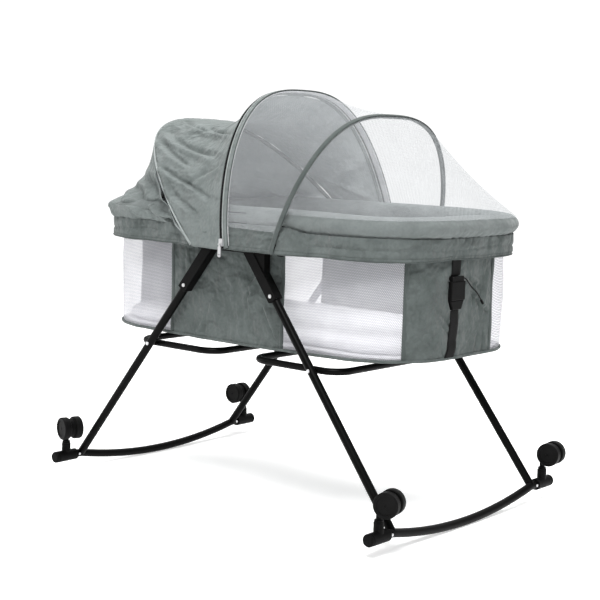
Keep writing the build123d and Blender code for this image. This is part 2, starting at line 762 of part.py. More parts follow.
def caster_frame(end, side, axle_deg):
    """Axle centre, axle direction and swivel axis foot of one caster."""
    trail = math.radians(axle_deg - 90)
    x = end * FOOT_X
    y = side * CASTER_Y
    centre = Vector(x + TRAIL * math.cos(trail), y + TRAIL * math.sin(trail), END_Z + AXLE_UP)
    way = Vector(math.cos(math.radians(axle_deg)), math.sin(math.radians(axle_deg)), 0)
    return centre, way, Vector(x, y, END_Z)


def caster_housing(end, side, axle_deg):
    """Swivel pin, base disc, hood between the wheels, and axle."""
    centre, way, foot = caster_frame(end, side, axle_deg)
    up = Vector(0, 0, 1)
    base = foot + up * (BOSS_TOP + BODY_GAP)
    half = way * (WHEEL_IN - BODY_GAP)
    body = rod(centre - half, centre + half, HOUSING_R)
    body += rod(base, base + up * BASE_T, BOSS_R - 1)
    body += rod(base, base + up * NECK_UP, WHEEL_IN - BODY_GAP)
    body += rod(foot + up * (TUBE_R + PIN_FLOOR + 1), base, SWIVEL_PIN_R)
    reach = way * (WHEEL_IN + WHEEL_W - AXLE_SHORT)
    body += rod(centre - reach, centre + reach, AXLE_R)
    return one_solid(body)


def caster_wheels(end, side, axle_deg):
    centre, way, _ = caster_frame(end, side, axle_deg)
    group = []
    for hand in (-1, 1):
        inner = centre + way * (hand * WHEEL_IN)
        outer = centre + way * (hand * (WHEEL_IN + WHEEL_W))
        wheel = rod(inner, outer, WHEEL_R)
        wheel = fillet(wheel.edges().filter_by(GeomType.CIRCLE), WHEEL_ROUND)
        dish = outer - way * (hand * DISH_DEPTH)
        wheel -= rod(dish, outer + way * hand, WHEEL_R - DISH_RIM)
        wheel -= rod(inner - way * hand, dish, AXLE_R + RUN_GAP)
        group.append(one_solid(wheel))
    return group


def build_stand():
    for end_name, end in ENDS.items():
        for side_name, side in SIDES.items():
            save(f"{end_name}_leg_{side_name}", leg_tube(end, side))
        save(f"{end_name}_leg_sockets", *[leg_socket(end, s) for s in SIDES.values()])
        save(f"{end_name}_rocker", rocker_tube(end))
        save(f"{end_name}_leg_rivets", *rivets(end))
        save(f"{end_name}_rocker_caps", *[rocker_cap(end, s) for s in SIDES.values()])
        save(f"{end_name}_support_loop", support_loop(end))


def build_casters():
    for (end_name, side_name), degrees in AXLE_DEG.items():
        place = f"{end_name}_{side_name}"
        end, side = ENDS[end_name], SIDES[side_name]
        save(f"caster_sleeve_{place}", caster_sleeve(end, side))
        save(f"caster_housing_{place}", caster_housing(end, side, degrees))
        save(f"caster_wheels_{place}", *caster_wheels(end, side, degrees))


def build_bed():
    for end_name, end in ENDS.items():
        save(f"rim_tube_{end_name}", pipe(ring_path(end), TUBE_R, TUBE_WALL))
    save("side_hubs", *on_both_sides(side_hub()))
    save("bow_brackets", *bow_brackets())
    save("pivot_bolts", *pivot_bolts())
    save("rim_pad", rim_pad())
    save("rim_skirt", rim_skirt())
    for name, solids in tub_walls().items():
        save(name, *solids)
    save("tub_floor", slab(TUB_RING, (TUB_Z[0] - FLOOR_T, TUB_Z[0])))
    board_z = TUB_Z[0] + LAYER_GAP
    save("floor_board", slab(TUB_RING, (board_z, board_z + BOARD_T), TUB_T + BOARD_INSET))
    save("mattress", mattress())


def build_strap():
    upper = strap_piece((BUCKLE_Z[3], TUB_Z[1] - BUCKLE_STEP))
    lower = strap_piece((STRAP_LOW_Z, BUCKLE_Z[0]))
    save("strap_webbing", upper, lower)
    socket = buckle_socket()
    plug = buckle_half(STRAP_W, BUCKLE_W, BUCKLE_Z[:2], BUCKLE_T - BUCKLE_STEP)
    save("strap_buckle", socket, plug)
    save("strap_hook", strap_hook())
    path = cord_path()
    cord = pipe(path, CORD_D / 2)
    section = math.pi * CORD_D ** 2 / 4
    print("cord length", round(path.length, 1), "volume ratio", round(cord.volume / section / path.length, 4))
    save("adjuster_cord", cord)
    way = path % 1
    tip = path @ 1
    save("cord_tip", rod(tip, tip + way * CORD_TIP_L, CORD_D))


def build_covers():
    rear, zipped, net = (bow_rib(bow, COVER_OUT) for bow in (REAR_BOW, ZIP_BOW, NET_BOW))
    clear = COVER_CLEAR
    zip_end = clear + ZIP_W
    binding_end = zip_end + SEAM_GAP + ZIP_W
    save("rear_bow", bow_wire(REAR_BOW))
    save("zip_bow", bow_wire(ZIP_BOW))
    save("net_bow", bow_wire(NET_BOW))
    save("rear_bow_feet", *bow_feet(REAR_BOW, REAR_BOW[0], OUTER_LINK_Y))
    save("zip_bow_feet", *bow_feet(ZIP_BOW, REAR_BOW[0], INNER_LINK_Y))
    save("net_bow_feet", *bow_feet(NET_BOW, NET_BOW[0], OUTER_LINK_Y))
    save("hood_back", shell(rim_rib(REAR_BOW[0], -1), 0, rear, -clear))
    save("hood_top", shell(rear, clear, zipped, -clear))
    save("zipper", band(ZIP_BOW, clear, ZIP_W, ZIP_T))
    save("net_binding", band(ZIP_BOW, zip_end + SEAM_GAP, ZIP_W, ZIP_T))
    save("net_front", shell(zipped, binding_end + SEAM_GAP, net, -clear))
    save("net_foot", shell(net, clear, rim_rib(NET_BOW[0], 1), 0))
    save("zip_slider", zip_slider())
    save("zip_pull", zip_pull())


build_stand()
build_casters()
build_bed()
build_strap()
build_covers()
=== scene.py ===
"""Looks for the rocking bassinet on a folding stand.  Metres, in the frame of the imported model."""
import json
import math

import bmesh
import bpy
import numpy as np
from mathutils import Matrix, Vector, noise


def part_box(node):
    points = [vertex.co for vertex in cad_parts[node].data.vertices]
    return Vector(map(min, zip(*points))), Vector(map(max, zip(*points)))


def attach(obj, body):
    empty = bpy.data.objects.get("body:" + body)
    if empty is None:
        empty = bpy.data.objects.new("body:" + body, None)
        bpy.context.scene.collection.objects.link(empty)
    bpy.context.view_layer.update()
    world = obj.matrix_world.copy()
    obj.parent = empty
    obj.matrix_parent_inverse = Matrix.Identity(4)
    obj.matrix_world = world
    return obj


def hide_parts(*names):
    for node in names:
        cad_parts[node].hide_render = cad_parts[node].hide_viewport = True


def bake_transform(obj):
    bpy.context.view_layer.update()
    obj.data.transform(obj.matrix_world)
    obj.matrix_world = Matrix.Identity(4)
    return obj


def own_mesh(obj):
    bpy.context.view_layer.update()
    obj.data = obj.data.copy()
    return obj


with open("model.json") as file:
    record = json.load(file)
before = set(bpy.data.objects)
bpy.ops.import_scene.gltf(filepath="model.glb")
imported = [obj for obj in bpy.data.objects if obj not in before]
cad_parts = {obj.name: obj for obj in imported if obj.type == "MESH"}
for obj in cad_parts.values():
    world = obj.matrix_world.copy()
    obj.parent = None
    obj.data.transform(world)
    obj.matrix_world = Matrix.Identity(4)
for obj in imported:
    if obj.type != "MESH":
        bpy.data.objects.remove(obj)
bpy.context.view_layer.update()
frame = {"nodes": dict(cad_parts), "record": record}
NODES = frame["nodes"]

# ------------------------------------------------------------------ camera
AZ, EL, ROLL = math.radians(39.97), math.radians(6.844), math.radians(1.761)
TARGET = Vector((0.1577, -0.2020, 0.4091))
DISTANCE = 2.4864
back = Vector((math.sin(AZ) * math.cos(EL), -math.cos(AZ) * math.cos(EL), math.sin(EL)))
right = Vector((math.cos(AZ), math.sin(AZ), 0))
up = back.cross(right)
cam_x = right * math.cos(ROLL) + up * math.sin(ROLL)
cam_y = up * math.cos(ROLL) - right * math.sin(ROLL)
camera = bpy.data.objects.new("camera", bpy.data.cameras.new("camera"))
bpy.context.collection.objects.link(camera)
camera.data.lens = 82.0
camera.data.sensor_width = 36.0
camera.data.clip_end = 50
turn = Matrix((cam_x, cam_y, back)).transposed().to_4x4()
camera.matrix_world = Matrix.Translation(TARGET + back * DISTANCE) @ turn
bpy.context.scene.camera = camera

# ------------------------------------------------------------------ sizes repeated from the model
FOOT_Z = 0.497
BOW_W = 0.257
REAR = (-0.066, 45.6, 0.333)
ZIP = (0.008, 9.6, 0.294)
NET = (0.135, -14.6, 0.257)
COVER = 0.003
POWER_Y, POWER_H = 2.8, 1.7
RING = (0.389, 0.214, 0.138)
RIM_Z = 0.551
PAD_W, PAD_H = 0.027, 0.021
PAD_START, PAD_CAP = 0.0012, 0.0022
TUB = (0.390, 0.203, 0.130)
TUB_LOW, TUB_HIGH = 0.317, 0.531
FRONT_X = (-0.168, 0.117)
FOOT_Y = (-0.156, 0.074)

# skirt, hood and net heights
SKIRT_TOP_Z = 0.5335
HEM_Z = 0.4935
HEM_SHARE, STITCH_SHARE = 0.985, 0.84
HOOD_HEM_Z = 0.505
NET_LOW_Z = 0.531
NET_FOOT_LOW_Z = 0.566

# cloth simulation
PRESSURE, FRAMES = 4.0, 20
MATTRESS_CAP = 0.005
MATTRESS_VOXEL = 0.006
QUILT_PITCH, QUILT_DEPTH = 0.055, 0.0022

# foot-end strap
STRAP_X, STRAP_Y = 0.3918, -0.051
STRAP_UPPER_Z = (0.464, 0.527)
STRAP_LOWER_Z = (0.406, 0.348)
STRAP_KICK_DROP = 0.031
WEBBING_T = 0.0017

# folds in the hood's cloth: start and end along and across the panel, width, depth
BACK_RUN = 0.95
BACK_FOLDS = (
    ((0.02, 0.006), (0.40, 0.040), 0.0055, 0.0060),
    ((0.03, 0.014), (0.38, 0.072), 0.0075, 0.0098),
    ((0.04, 0.024), (0.34, 0.110), 0.0085, 0.0104),
    ((0.05, 0.034), (0.30, 0.145), 0.0085, 0.0080),
)
TOP_FOLDS = (
    ((0.43, 0.02), (0.31, 0.17), 0.009, 0.0050),
    ((0.36, 0.01), (0.21, 0.14), 0.008, 0.0080),
    ((0.30, 0.00), (0.19, 0.08), 0.006, 0.0060),
    ((0.24, 0.00), (0.10, 0.10), 0.008, 0.0070),
    ((0.17, 0.00), (0.06, 0.06), 0.006, 0.0055),
    ((0.40, 0.10), (0.27, 0.20), 0.007, 0.0055),
    ((0.14, 0.05), (0.20, 0.15), 0.007, 0.0045),
)


# ------------------------------------------------------------------ node materials
def new_material(name):
    mat = bpy.data.materials.new(name)
    mat.use_nodes = True
    tree = mat.node_tree
    shader = tree.nodes["Principled BSDF"]
    return mat, tree, shader


def node(tree, kind, **values):
    made = tree.nodes.new(kind)
    for key, value in values.items():
        if key in made.inputs:
            made.inputs[key].default_value = value
        else:
            setattr(made, key, value)
    return made


def coords(tree, scale=1.0, turn_by=(0, 0, 0)):
    source = node(tree, "ShaderNodeTexCoord")
    mapping = node(tree, "ShaderNodeMapping")
    mapping.inputs["Scale"].default_value = (scale,) * 3
    mapping.inputs["Rotation"].default_value = turn_by
    tree.links.new(source.outputs["Object"], mapping.inputs["Vector"])
    return mapping.outputs["Vector"]


def ramp(tree, source, low, high, start=0.3, end=0.7):
    made = node(tree, "ShaderNodeValToRGB")
    made.color_ramp.elements[0].position = start
    made.color_ramp.elements[1].position = end
    made.color_ramp.elements[0].color = (*low, 1)
    made.color_ramp.elements[1].color = (*high, 1)
    tree.links.new(source, made.inputs["Fac"])
    return made.outputs["Color"]


def math_node(tree, operation, a, b):
    made = node(tree, "ShaderNodeMath", operation=operation)
    for socket, value in zip(made.inputs, (a, b)):
        if isinstance(value, (int, float)):
            socket.default_value = value
        else:
            tree.links.new(value, socket)
    return made.outputs[0]


def weave(tree, pitch):
    """Height of a plain weave: two crossed sets of threads."""
    scale = 0.314 / pitch
    waves = []
    for turn_by in ((0, 0, 0.5), (0.9, 0.6, 2.1)):
        wave = node(tree, "ShaderNodeTexWave", wave_type="BANDS", bands_direction="DIAGONAL")
        wave.inputs["Scale"].default_value = 1.0
        wave.inputs["Distortion"].default_value = 0.6
        tree.links.new(coords(tree, scale, turn_by), wave.inputs["Vector"])
        waves.append(wave.outputs["Fac"])
    return math_node(tree, "MULTIPLY", waves[0], waves[1])


def noise_fac(tree, scale, detail=4.0, rough=0.55, vector_scale=1.0):
    made = node(tree, "ShaderNodeTexNoise", Scale=scale, Detail=detail, Roughness=rough)
    tree.links.new(coords(tree, vector_scale), made.inputs["Vector"])
    return made.outputs["Fac"]


def bump(tree, shader, height, distance, strength=1.0, under=None):
    made = node(tree, "ShaderNodeBump", Strength=strength, Distance=distance)
    tree.links.new(height, made.inputs["Height"])
    if under is not None:
        tree.links.new(under, made.inputs["Normal"])
    tree.links.new(made.outputs["Normal"], shader.inputs["Normal"])
    return made.outputs["Normal"]


def map_range(tree, source, low, high, start=0.0, end=1.0):
    made = node(tree, "ShaderNodeMapRange")
    for key, value in (("From Min", start), ("From Max", end), ("To Min", low), ("To Max", high)):
        made.inputs[key].default_value = value
    tree.links.new(source, made.inputs["Value"])
    return made.outputs["Result"]


def ridges(tree, scale, stretch=(1, 1, 1)):
    """Thin branching creases, as in cloth that was folded."""
    made = node(tree, "ShaderNodeTexNoise", noise_type="RIDGED_MULTIFRACTAL", Scale=scale)
    made.inputs["Detail"].default_value = 3.0
    made.inputs["Roughness"].default_value = 0.45
    made.inputs["Offset"].default_value = 0.85
    made.inputs["Gain"].default_value = 1.1
    made.inputs["Distortion"].default_value = 0.6
    source = node(tree, "ShaderNodeTexCoord")
    mapping = node(tree, "ShaderNodeMapping")
    mapping.inputs["Scale"].default_value = stretch
    tree.links.new(source.outputs["Object"], mapping.inputs["Vector"])
    tree.links.new(mapping.outputs["Vector"], made.inputs["Vector"])
    return made.outputs["Fac"]


def cloth(name, low, high, pitch=0.0011, crinkle=0.0009, sheen=0.1, folds=0.004):
    """Woven cloth: colour varies in soft patches, threads, creases and small crinkles in the bump."""
    mat, tree, shader = new_material(name)
    patches = noise_fac(tree, 20.0, 6.0, 0.62)
    fine = noise_fac(tree, 260.0, 2.0)
    slow_part = math_node(tree, "MULTIPLY", patches, 0.75)
    fine_part = math_node(tree, "MULTIPLY", fine, 0.25)
    both = math_node(tree, "ADD", slow_part, fine_part)
    tree.links.new(ramp(tree, both, low, high, 0.30, 0.70), shader.inputs["Base Color"])
    tree.links.new(map_range(tree, fine, 0.78, 0.95), shader.inputs["Roughness"])
    shader.inputs["Sheen Weight"].default_value = sheen
    shader.inputs["Specular IOR Level"].default_value = 0.25
    under = bump(tree, shader, noise_fac(tree, 17.0, 3.0, 0.5), folds * 6.0)
    under = bump(tree, shader, ridges(tree, 9.0, (1, 1, 0.8)), folds * 0.6, 1.0, under)
    under = bump(tree, shader, noise_fac(tree, 55.0, 5.0, 0.6), crinkle, 1.0, under)
    bump(tree, shader, weave(tree, pitch), 0.00014, 0.8, under)
    return mat


def open_mesh(name, low, high, thread, hole, pitch=0.0016):
    """Knitted mesh: see-through between the threads."""
    mat, tree, shader = new_material(name)
    cells = weave(tree, pitch)
    tree.links.new(ramp(tree, noise_fac(tree, 18.0), low, high), shader.inputs["Base Color"])
    tree.links.new(map_range(tree, cells, hole, thread, 0.15, 0.55), shader.inputs["Alpha"])
    shader.inputs["Roughness"].default_value = 0.85
    shader.inputs["Specular IOR Level"].default_value = 0.1
    bump(tree, shader, cells, 0.0003, 0.6)
    return mat


def moulded(name, low, high, rough, grain=900.0, depth=0.00012, spec=0.4, metal=0.0):
    """Moulded plastic or paint with a fine grain and slight wear in the gloss."""
    mat, tree, shader = new_material(name)
    wear = noise_fac(tree, 35.0, 5.0)
    tree.links.new(ramp(tree, wear, low, high), shader.inputs["Base Color"])
    tree.links.new(map_range(tree, wear, *rough), shader.inputs["Roughness"])
    shader.inputs["Specular IOR Level"].default_value = spec
    shader.inputs["Metallic"].default_value = metal
    bump(tree, shader, noise_fac(tree, grain, 2.0), depth, 0.7)
    return mat


def webbing_material(name):
    """Ribbed nylon webbing."""
    mat, tree, shader = new_material(name)
    ribs = node(tree, "ShaderNodeTexWave", wave_type="BANDS", bands_direction="Z")
    ribs.inputs["Scale"].default_value = 1.0
    ribs.inputs["Distortion"].default_value = 1.2
    tree.links.new(coords(tree, 0.314 / 0.0018), ribs.inputs["Vector"])
    colour = ramp(tree, ribs.outputs["Fac"], (0.002,) * 3, (0.008,) * 3)
    tree.links.new(colour, shader.inputs["Base Color"])
    shader.inputs["Roughness"].default_value = 0.75
    shader.inputs["Specular IOR Level"].default_value = 0.15
    bump(tree, shader, ribs.outputs["Fac"], 0.0004, 0.8)
    return mat


HOOD = cloth("hood_cloth", (0.105, 0.122, 0.118), (0.178, 0.200, 0.196), folds=0.006)
SIDE = cloth("side_cloth", (0.056, 0.068, 0.065), (0.105, 0.122, 0.118), folds=0.007)
PAD = cloth("pad_cloth", (0.118, 0.134, 0.131), (0.172, 0.192, 0.189), folds=0.003)
LINING = cloth("lining_cloth", (0.28, 0.305, 0.305), (0.36, 0.385, 0.385))
SKIRT = cloth("skirt_cloth", (0.070, 0.083, 0.080), (0.122, 0.140, 0.136), folds=0.008)
BINDING = cloth("binding_cloth", (0.045, 0.056, 0.053), (0.075, 0.088, 0.085), 0.0009, folds=0.001)
PIPING = cloth("piping_cloth", (0.23, 0.255, 0.25), (0.31, 0.335, 0.33), 0.0009, folds=0.001)
WHITE = cloth("mattress_cloth", (0.62, 0.62, 0.64), (0.72, 0.72, 0.74), crinkle=0.0006, folds=0.002)
ZIP_TAPE = cloth("zip_tape", (0.004,) * 3, (0.010,) * 3, 0.0008, sheen=0.0, folds=0.0005)
MESH = open_mesh("mesh_cloth", (0.60, 0.60, 0.64), (0.70, 0.70, 0.74), 0.66, 0.38, 0.0024)
NETTING = open_mesh("net_cloth", (0.42, 0.44, 0.455), (0.50, 0.52, 0.535), 0.38, 0.24, 0.0026)
FRAME_BLACK = moulded("frame_black", (0.0015,) * 3, (0.003,) * 3, (0.3, 0.42), 1500.0, 0.00004, 0.06)
PLASTIC = moulded("black_plastic", (0.002, 0.002, 0.002), (0.005, 0.005, 0.005), (0.42, 0.6), spec=0.06)
TREAD = moulded("wheel_plastic", (0.0025, 0.0025, 0.0025), (0.006, 0.006, 0.006), (0.4, 0.6), spec=0.07)
STEEL = moulded("rivet_steel", (0.55, 0.55, 0.56), (0.72, 0.72, 0.73), (0.22, 0.4), 1800.0, 0.00003, 0.5, 1.0)
SILVER = moulded("zip_metal", (0.40, 0.40, 0.41), (0.55, 0.55, 0.56), (0.25, 0.4), 900.0, 0.00003, 0.5, 0.5)
WEBBING = webbing_material("webbing")

BY_SLOT = {
    "frame_black": FRAME_BLACK,
    "rim_steel": FRAME_BLACK,
    "black_plastic": PLASTIC,
    "wheel_rubber": TREAD,
    "rivet_steel": STEEL,
    "bow_wire": STEEL,
    "zip_metal": SILVER,
    "board": WHITE,
}
SLOT_OF = {part["node"]: part["material_slot"] for part in frame["record"]["subparts"]}
for name, thing in NODES.items():
    if SLOT_OF[name] in BY_SLOT:
        thing.data.materials.clear()
        thing.data.materials.append(BY_SLOT[SLOT_OF[name]])


# ------------------------------------------------------------------ mesh helpers
def add(name, verts, faces, material, smooth=True):
    mesh = bpy.data.meshes.new(name)
    mesh.from_pydata([tuple(v) for v in verts], [], faces)
    mesh.validate()
    mesh.update()
    thing = bpy.data.objects.new(name, mesh)
    bpy.context.collection.objects.link(thing)
    mesh.materials.append(material)
    if smooth:
        mesh.polygons.foreach_set("use_smooth", [True] * len(mesh.polygons))
    return thing


def grid(name, points, material, closed_u=False, closed_v=False, flip=False):
    """Surface through an array of points, nu by nv."""
    points = np.asarray(points, float)
    if flip:
        points = points[:, ::-1]
    nu, nv = points.shape[:2]
    faces = []
    for i in range(nu if closed_u else nu - 1):
        for j in range(nv if closed_v else nv - 1):
            i2, j2 = (i + 1) % nu, (j + 1) % nv
            faces.append((i * nv + j, i2 * nv + j, i2 * nv + j2, i * nv + j2))
    return add(name, points.reshape(-1, 3), faces, material)


def apply_modifiers(thing):
    depsgraph = bpy.context.evaluated_depsgraph_get()
    made = bpy.data.meshes.new_from_object(thing.evaluated_get(depsgraph))
    thing.modifiers.clear()
    thing.data = made
    made.polygons.foreach_set("use_smooth", [True] * len(made.polygons))
    return thing


def thicken(thing, thickness, offset=-1.0, inside=None):
    """Gives a sheet two faces; the inside face may have its own cloth."""
    made = thing.modifiers.new("solidify", "SOLIDIFY")
    if inside is not None:
        thing.data.materials.append(inside)
        made.material_offset = 1
    made.thickness = thickness
    made.offset = offset
    made.use_even_offset = False
    return apply_modifiers(thing)


def perlin(points, scale, seed=0.0):
    """Smooth noise at each point, about -1 to 1."""
    shift = Vector((seed, seed * 1.7, -seed))
    flat = points.reshape(-1, 3)
    values = [noise.noise(Vector(p) * scale + shift) for p in flat]
    return np.array(values).reshape(points.shape[:-1])


def normals_of(points):
    """Unit normals of a grid of points."""
    along_u = np.gradient(points, axis=0)
    along_v = np.gradient(points, axis=1)
    cross = np.cross(along_u, along_v)
    size = np.linalg.norm(cross, axis=2, keepdims=True)
    return cross / np.maximum(size, 1e-12)


def outward(points, normals, centre):
    """Flip the normals so that they point away from a point."""
    towards = points - np.asarray(centre)
    sign = np.sign((normals * towards).sum(axis=2).mean()) or 1.0
    return normals * sign


def tube(name, path, radius, material, sides=10, closed=False, flat=1.0, flat_dir=None):
    """Round or flattened bar along sampled points."""
    path = np.asarray(path, float)
    tangent = np.gradient(path, axis=0)
    if closed:
        tangent = np.roll(path, -1, axis=0) - np.roll(path, 1, axis=0)
    tangent /= np.linalg.norm(tangent, axis=1, keepdims=True)
    ref = np.array(flat_dir if flat_dir is not None else (0.31, 0.27, 0.91), float)
    rows = []
    for p, t in zip(path, tangent):
        a = ref - t * (ref @ t)
        a /= np.linalg.norm(a)
        b = np.cross(t, a)
        angles = np.linspace(0, 2 * math.pi, sides, endpoint=False)
        rows.append([p + a * math.cos(k) * radius * flat + b * math.sin(k) * radius for k in angles])
    thing = grid(name, rows, material, closed_u=closed, closed_v=True)
    if not closed:
        mesh = bmesh.new()
        mesh.from_mesh(thing.data)
        bmesh.ops.holes_fill(mesh, edges=mesh.edges[:], sides=0)
        mesh.to_mesh(thing.data)
        mesh.free()
        thing.data.polygons.foreach_set("use_smooth", [True] * len(thing.data.polygons))
    return thing


# ------------------------------------------------------------------ cloth
def simulate(thing, cap):
    """Swell a closed cloth skin, then keep no point further than cap from where it was."""
    rest = np.array([v.co for v in thing.data.vertices])
    made = thing.modifiers.new("cloth", "CLOTH")
    made.settings.quality = 5
    made.settings.mass = 0.3
    made.settings.tension_stiffness = 15
    made.settings.compression_stiffness = 15
    made.settings.bending_stiffness = 0.5
    made.settings.use_pressure = True
    made.settings.uniform_pressure_force = PRESSURE
    made.settings.effector_weights.gravity = 0
    made.collision_settings.use_collision = False
    scene = bpy.context.scene
    made.point_cache.frame_start = 1
    made.point_cache.frame_end = FRAMES
    for f in range(1, FRAMES + 1):
        scene.frame_set(f)
    depsgraph = bpy.context.evaluated_depsgraph_get()
    mesh = thing.evaluated_get(depsgraph).data
    moved = np.array([v.co for v in mesh.vertices])
    thing.modifiers.clear()
    scene.frame_set(1)
    step = moved - rest
    size = np.linalg.norm(step, axis=1, keepdims=True)
    step *= np.minimum(1, cap / np.maximum(size, 1e-9))
    rest = rest + step
    thing.data.vertices.foreach_set("co", rest.ravel())
    thing.data.update()
    return thing


# ------------------------------------------------------------------ curves of the object
def rib(bow, turns, out=COVER, along=0.0):
    """Points of a bow's curve; turns run from 0 at the front foot to pi at the back foot."""
    foot_x, lean, height = bow
    tilt = math.radians(lean)
    turns = np.asarray(turns, float)
    cosine = np.cos(turns)
    y = -np.sign(cosine) * np.abs(cosine) ** (2 / POWER_Y) * (BOW_W + out)
    h = np.clip(np.sin(turns), 0, 1) ** (2 / POWER_H) * (height + out)
    x = foot_x - h * math.sin(tilt) + math.cos(tilt) * along
    z = FOOT_Z + h * math.cos(tilt) + math.sin(tilt) * along
    return np.stack([x, y, z], axis=-1)


def even_turns(bow, count, low=0.0, high=math.pi):
    """Parameter values that space points evenly along a bow."""
    fine = np.linspace(low, high, 2001)
    points = rib(bow, fine)
    run = np.concatenate([[0], np.cumsum(np.linalg.norm(np.diff(points, axis=0), axis=1))])
    return np.interp(np.linspace(0, run[-1], count), run, fine)


def ring_at(ring, travel):
    """Point and outward direction on a rounded rectangle; travel is 0 to 1 from (0, -b) anticlockwise."""
    half_x, half_y, corner = ring
    sx, sy, arc = half_x - corner, half_y - corner, math.pi * corner / 2
    total = 4 * sx + 4 * sy + 4 * arc
    s = (travel % 1.0) * total
    runs = [
        (sx, "line", (0, -half_y), (1, 0), (0, -1)),
        (arc, "arc", (sx, -sy), -90, None),
        (2 * sy, "line", (half_x, -sy), (0, 1), (1, 0)),
        (arc, "arc", (sx, sy), 0, None),
        (2 * sx, "line", (sx, half_y), (-1, 0), (0, 1)),
        (arc, "arc", (-sx, sy), 90, None),
        (2 * sy, "line", (-half_x, sy), (0, -1), (-1, 0)),
        (arc, "arc", (-sx, -sy), 180, None),
        (sx, "line", (-sx, -half_y), (1, 0), (0, -1)),
    ]
    for length, kind, start, way, out in runs:
        if s <= length + 1e-9:
            if kind == "line":
                return (start[0] + way[0] * s, start[1] + way[1] * s), out
            angle = math.radians(way) + s / corner
            normal = (math.cos(angle), math.sin(angle))
            return (start[0] + normal[0] * corner, start[1] + normal[1] * corner), normal
        s -= length
    return (0, -half_y), (0, -1)


def ring_length(ring):
    half_x, half_y, corner = ring
    return 4 * (half_x - corner) + 4 * (half_y - corner) + 2 * math.pi * corner


def travel_of_x(ring, x, back_side=False):
    """Travel of the point at x on a long side."""
    total = ring_length(ring)
    if back_side:
        half_x, half_y, corner = ring
        start = (half_x - corner) + 2 * (half_y - corner) + math.pi * corner
        return (start + (half_x - corner) - x) / total
    return (x / total) % 1.0


def head_press(x):
    """The hood's cloth presses the top of the pad down at the head end."""
    rise = min(1.0, max(0.0, (-0.22 - x) / 0.14))
    return 0.38 * rise * rise * (3 - 2 * rise)


def rim_point(travel, angle, swell=0.0):
    """Point on the pad's skin; angle 0 is outwards, 90 degrees is the top."""
    (x, y), (nx, ny) = ring_at(RING, travel)
    w = math.cos(angle) * (PAD_W + swell)
    h = PAD_H * (1 - head_press(x) * max(0.0, math.sin(angle))) + swell
    return np.array([x + nx * w, y + ny * w, RIM_Z + math.sin(angle) * h])


# ------------------------------------------------------------------ rim pad
def gathers(travel, seed):
    """Uneven small pleats along a seam."""
    s = travel * ring_length(RING)
    a = noise.noise(Vector((s * 95, seed, 0)))
    b = noise.noise(Vector((s * 210, seed + 7, 0)))
    patch = 0.55 + 0.45 * noise.noise(Vector((s * 9, seed + 3, 2)))
    return (0.65 * a + 0.35 * b) * patch


def make_pad():
    nu, nv = 700, 40
    points = np.zeros((nu, nv, 3))
    for i in range(nu):
        travel = i / nu
        pleat = gathers(travel, 1.3)
        s = travel * ring_length(RING)
        slow = noise.noise(Vector((s * 6, 3.1, 0.4)))
        for j in range(nv):
            angle = 2 * math.pi * j / nv
            down = max(0.0, -math.sin(angle)) ** 1.5
            off_seam = (angle - math.radians(310) + math.pi) % (2 * math.pi) - math.pi
            near_seam = math.exp(-((off_seam / 0.55) ** 2))
            pinch = -0.0024 * near_seam
            swell = 0.0010 * slow + 0.0064 * pleat * (near_seam + 0.2 * down) + pinch - PAD_START
            points[i, j] = rim_point(travel, angle, swell)
    pad = grid("pad_roll", points, PAD, closed_u=True, closed_v=True)
    simulate(pad, PAD_CAP)
    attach(pad, "bed")
    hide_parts("rim_pad")


# ------------------------------------------------------------------ skirt
SKIRT_TOP_RING = (0.4000, 0.2345, 0.150)
SKIRT_LOW_RING = (0.3975, 0.2375, 0.150)


def hem_height(travel):
    s = travel * ring_length(SKIRT_LOW_RING)
    wave = 0.0022 * noise.noise(Vector((s * 7, 11.0, 0))) + 0.0012 * noise.noise(Vector((s * 19, 5.0, 0)))
    return HEM_Z + wave


def hinge_bulge(x):
    """The skirt is pushed out where it passes over the hubs and bow feet."""
    rise = min(1.0, max(0.0, (x + 0.13) / 0.05)) * min(1.0, max(0.0, (0.20 - x) / 0.05))
    return 0.0185 * rise * rise * (3 - 2 * rise)


def skirt_point(travel, fall):
    """fall is 0 under the pad and 1 at the hem."""
    (x0, y0), _ = ring_at(SKIRT_TOP_RING, travel)
    (x1, y1), n1 = ring_at(SKIRT_LOW_RING, travel)
    s = travel * ring_length(SKIRT_LOW_RING)
    fold = 0.0024 * noise.noise(Vector((s * 16, 2.0, fall * 2.5)))
    fold += 0.0014 * noise.noise(Vector((s * 48, 4.0, fall * 3)))
    tuck = fall - 0.52 - 0.16 * noise.noise(Vector((s * 7, 8.0, 1)))
    uneven = 0.6 + 0.6 * noise.noise(Vector((s * 11, 6.0, 2)))
    fold -= 0.0042 * math.exp(-((tuck / 0.07) ** 2)) * uneven
    pleat = 0.0052 * gathers(travel, 1.3) * math.exp(-fall * 3.0)
    out = fold * (0.3 + 0.7 * fall) + pleat
    if abs(n1[0]) < 0.01:
        out += hinge_bulge(x1) * min(1.0, 0.35 + fall * 1.6)
    x = x0 + (x1 - x0) * fall + n1[0] * out
    y = y0 + (y1 - y0) * fall + n1[1] * out
    top = SKIRT_TOP_Z
    if abs(n1[0]) < 0.01:
        top += 0.44 * hinge_bulge(x1)
    z = top + (hem_height(travel) - top) * fall
    return np.array([x, y, z])


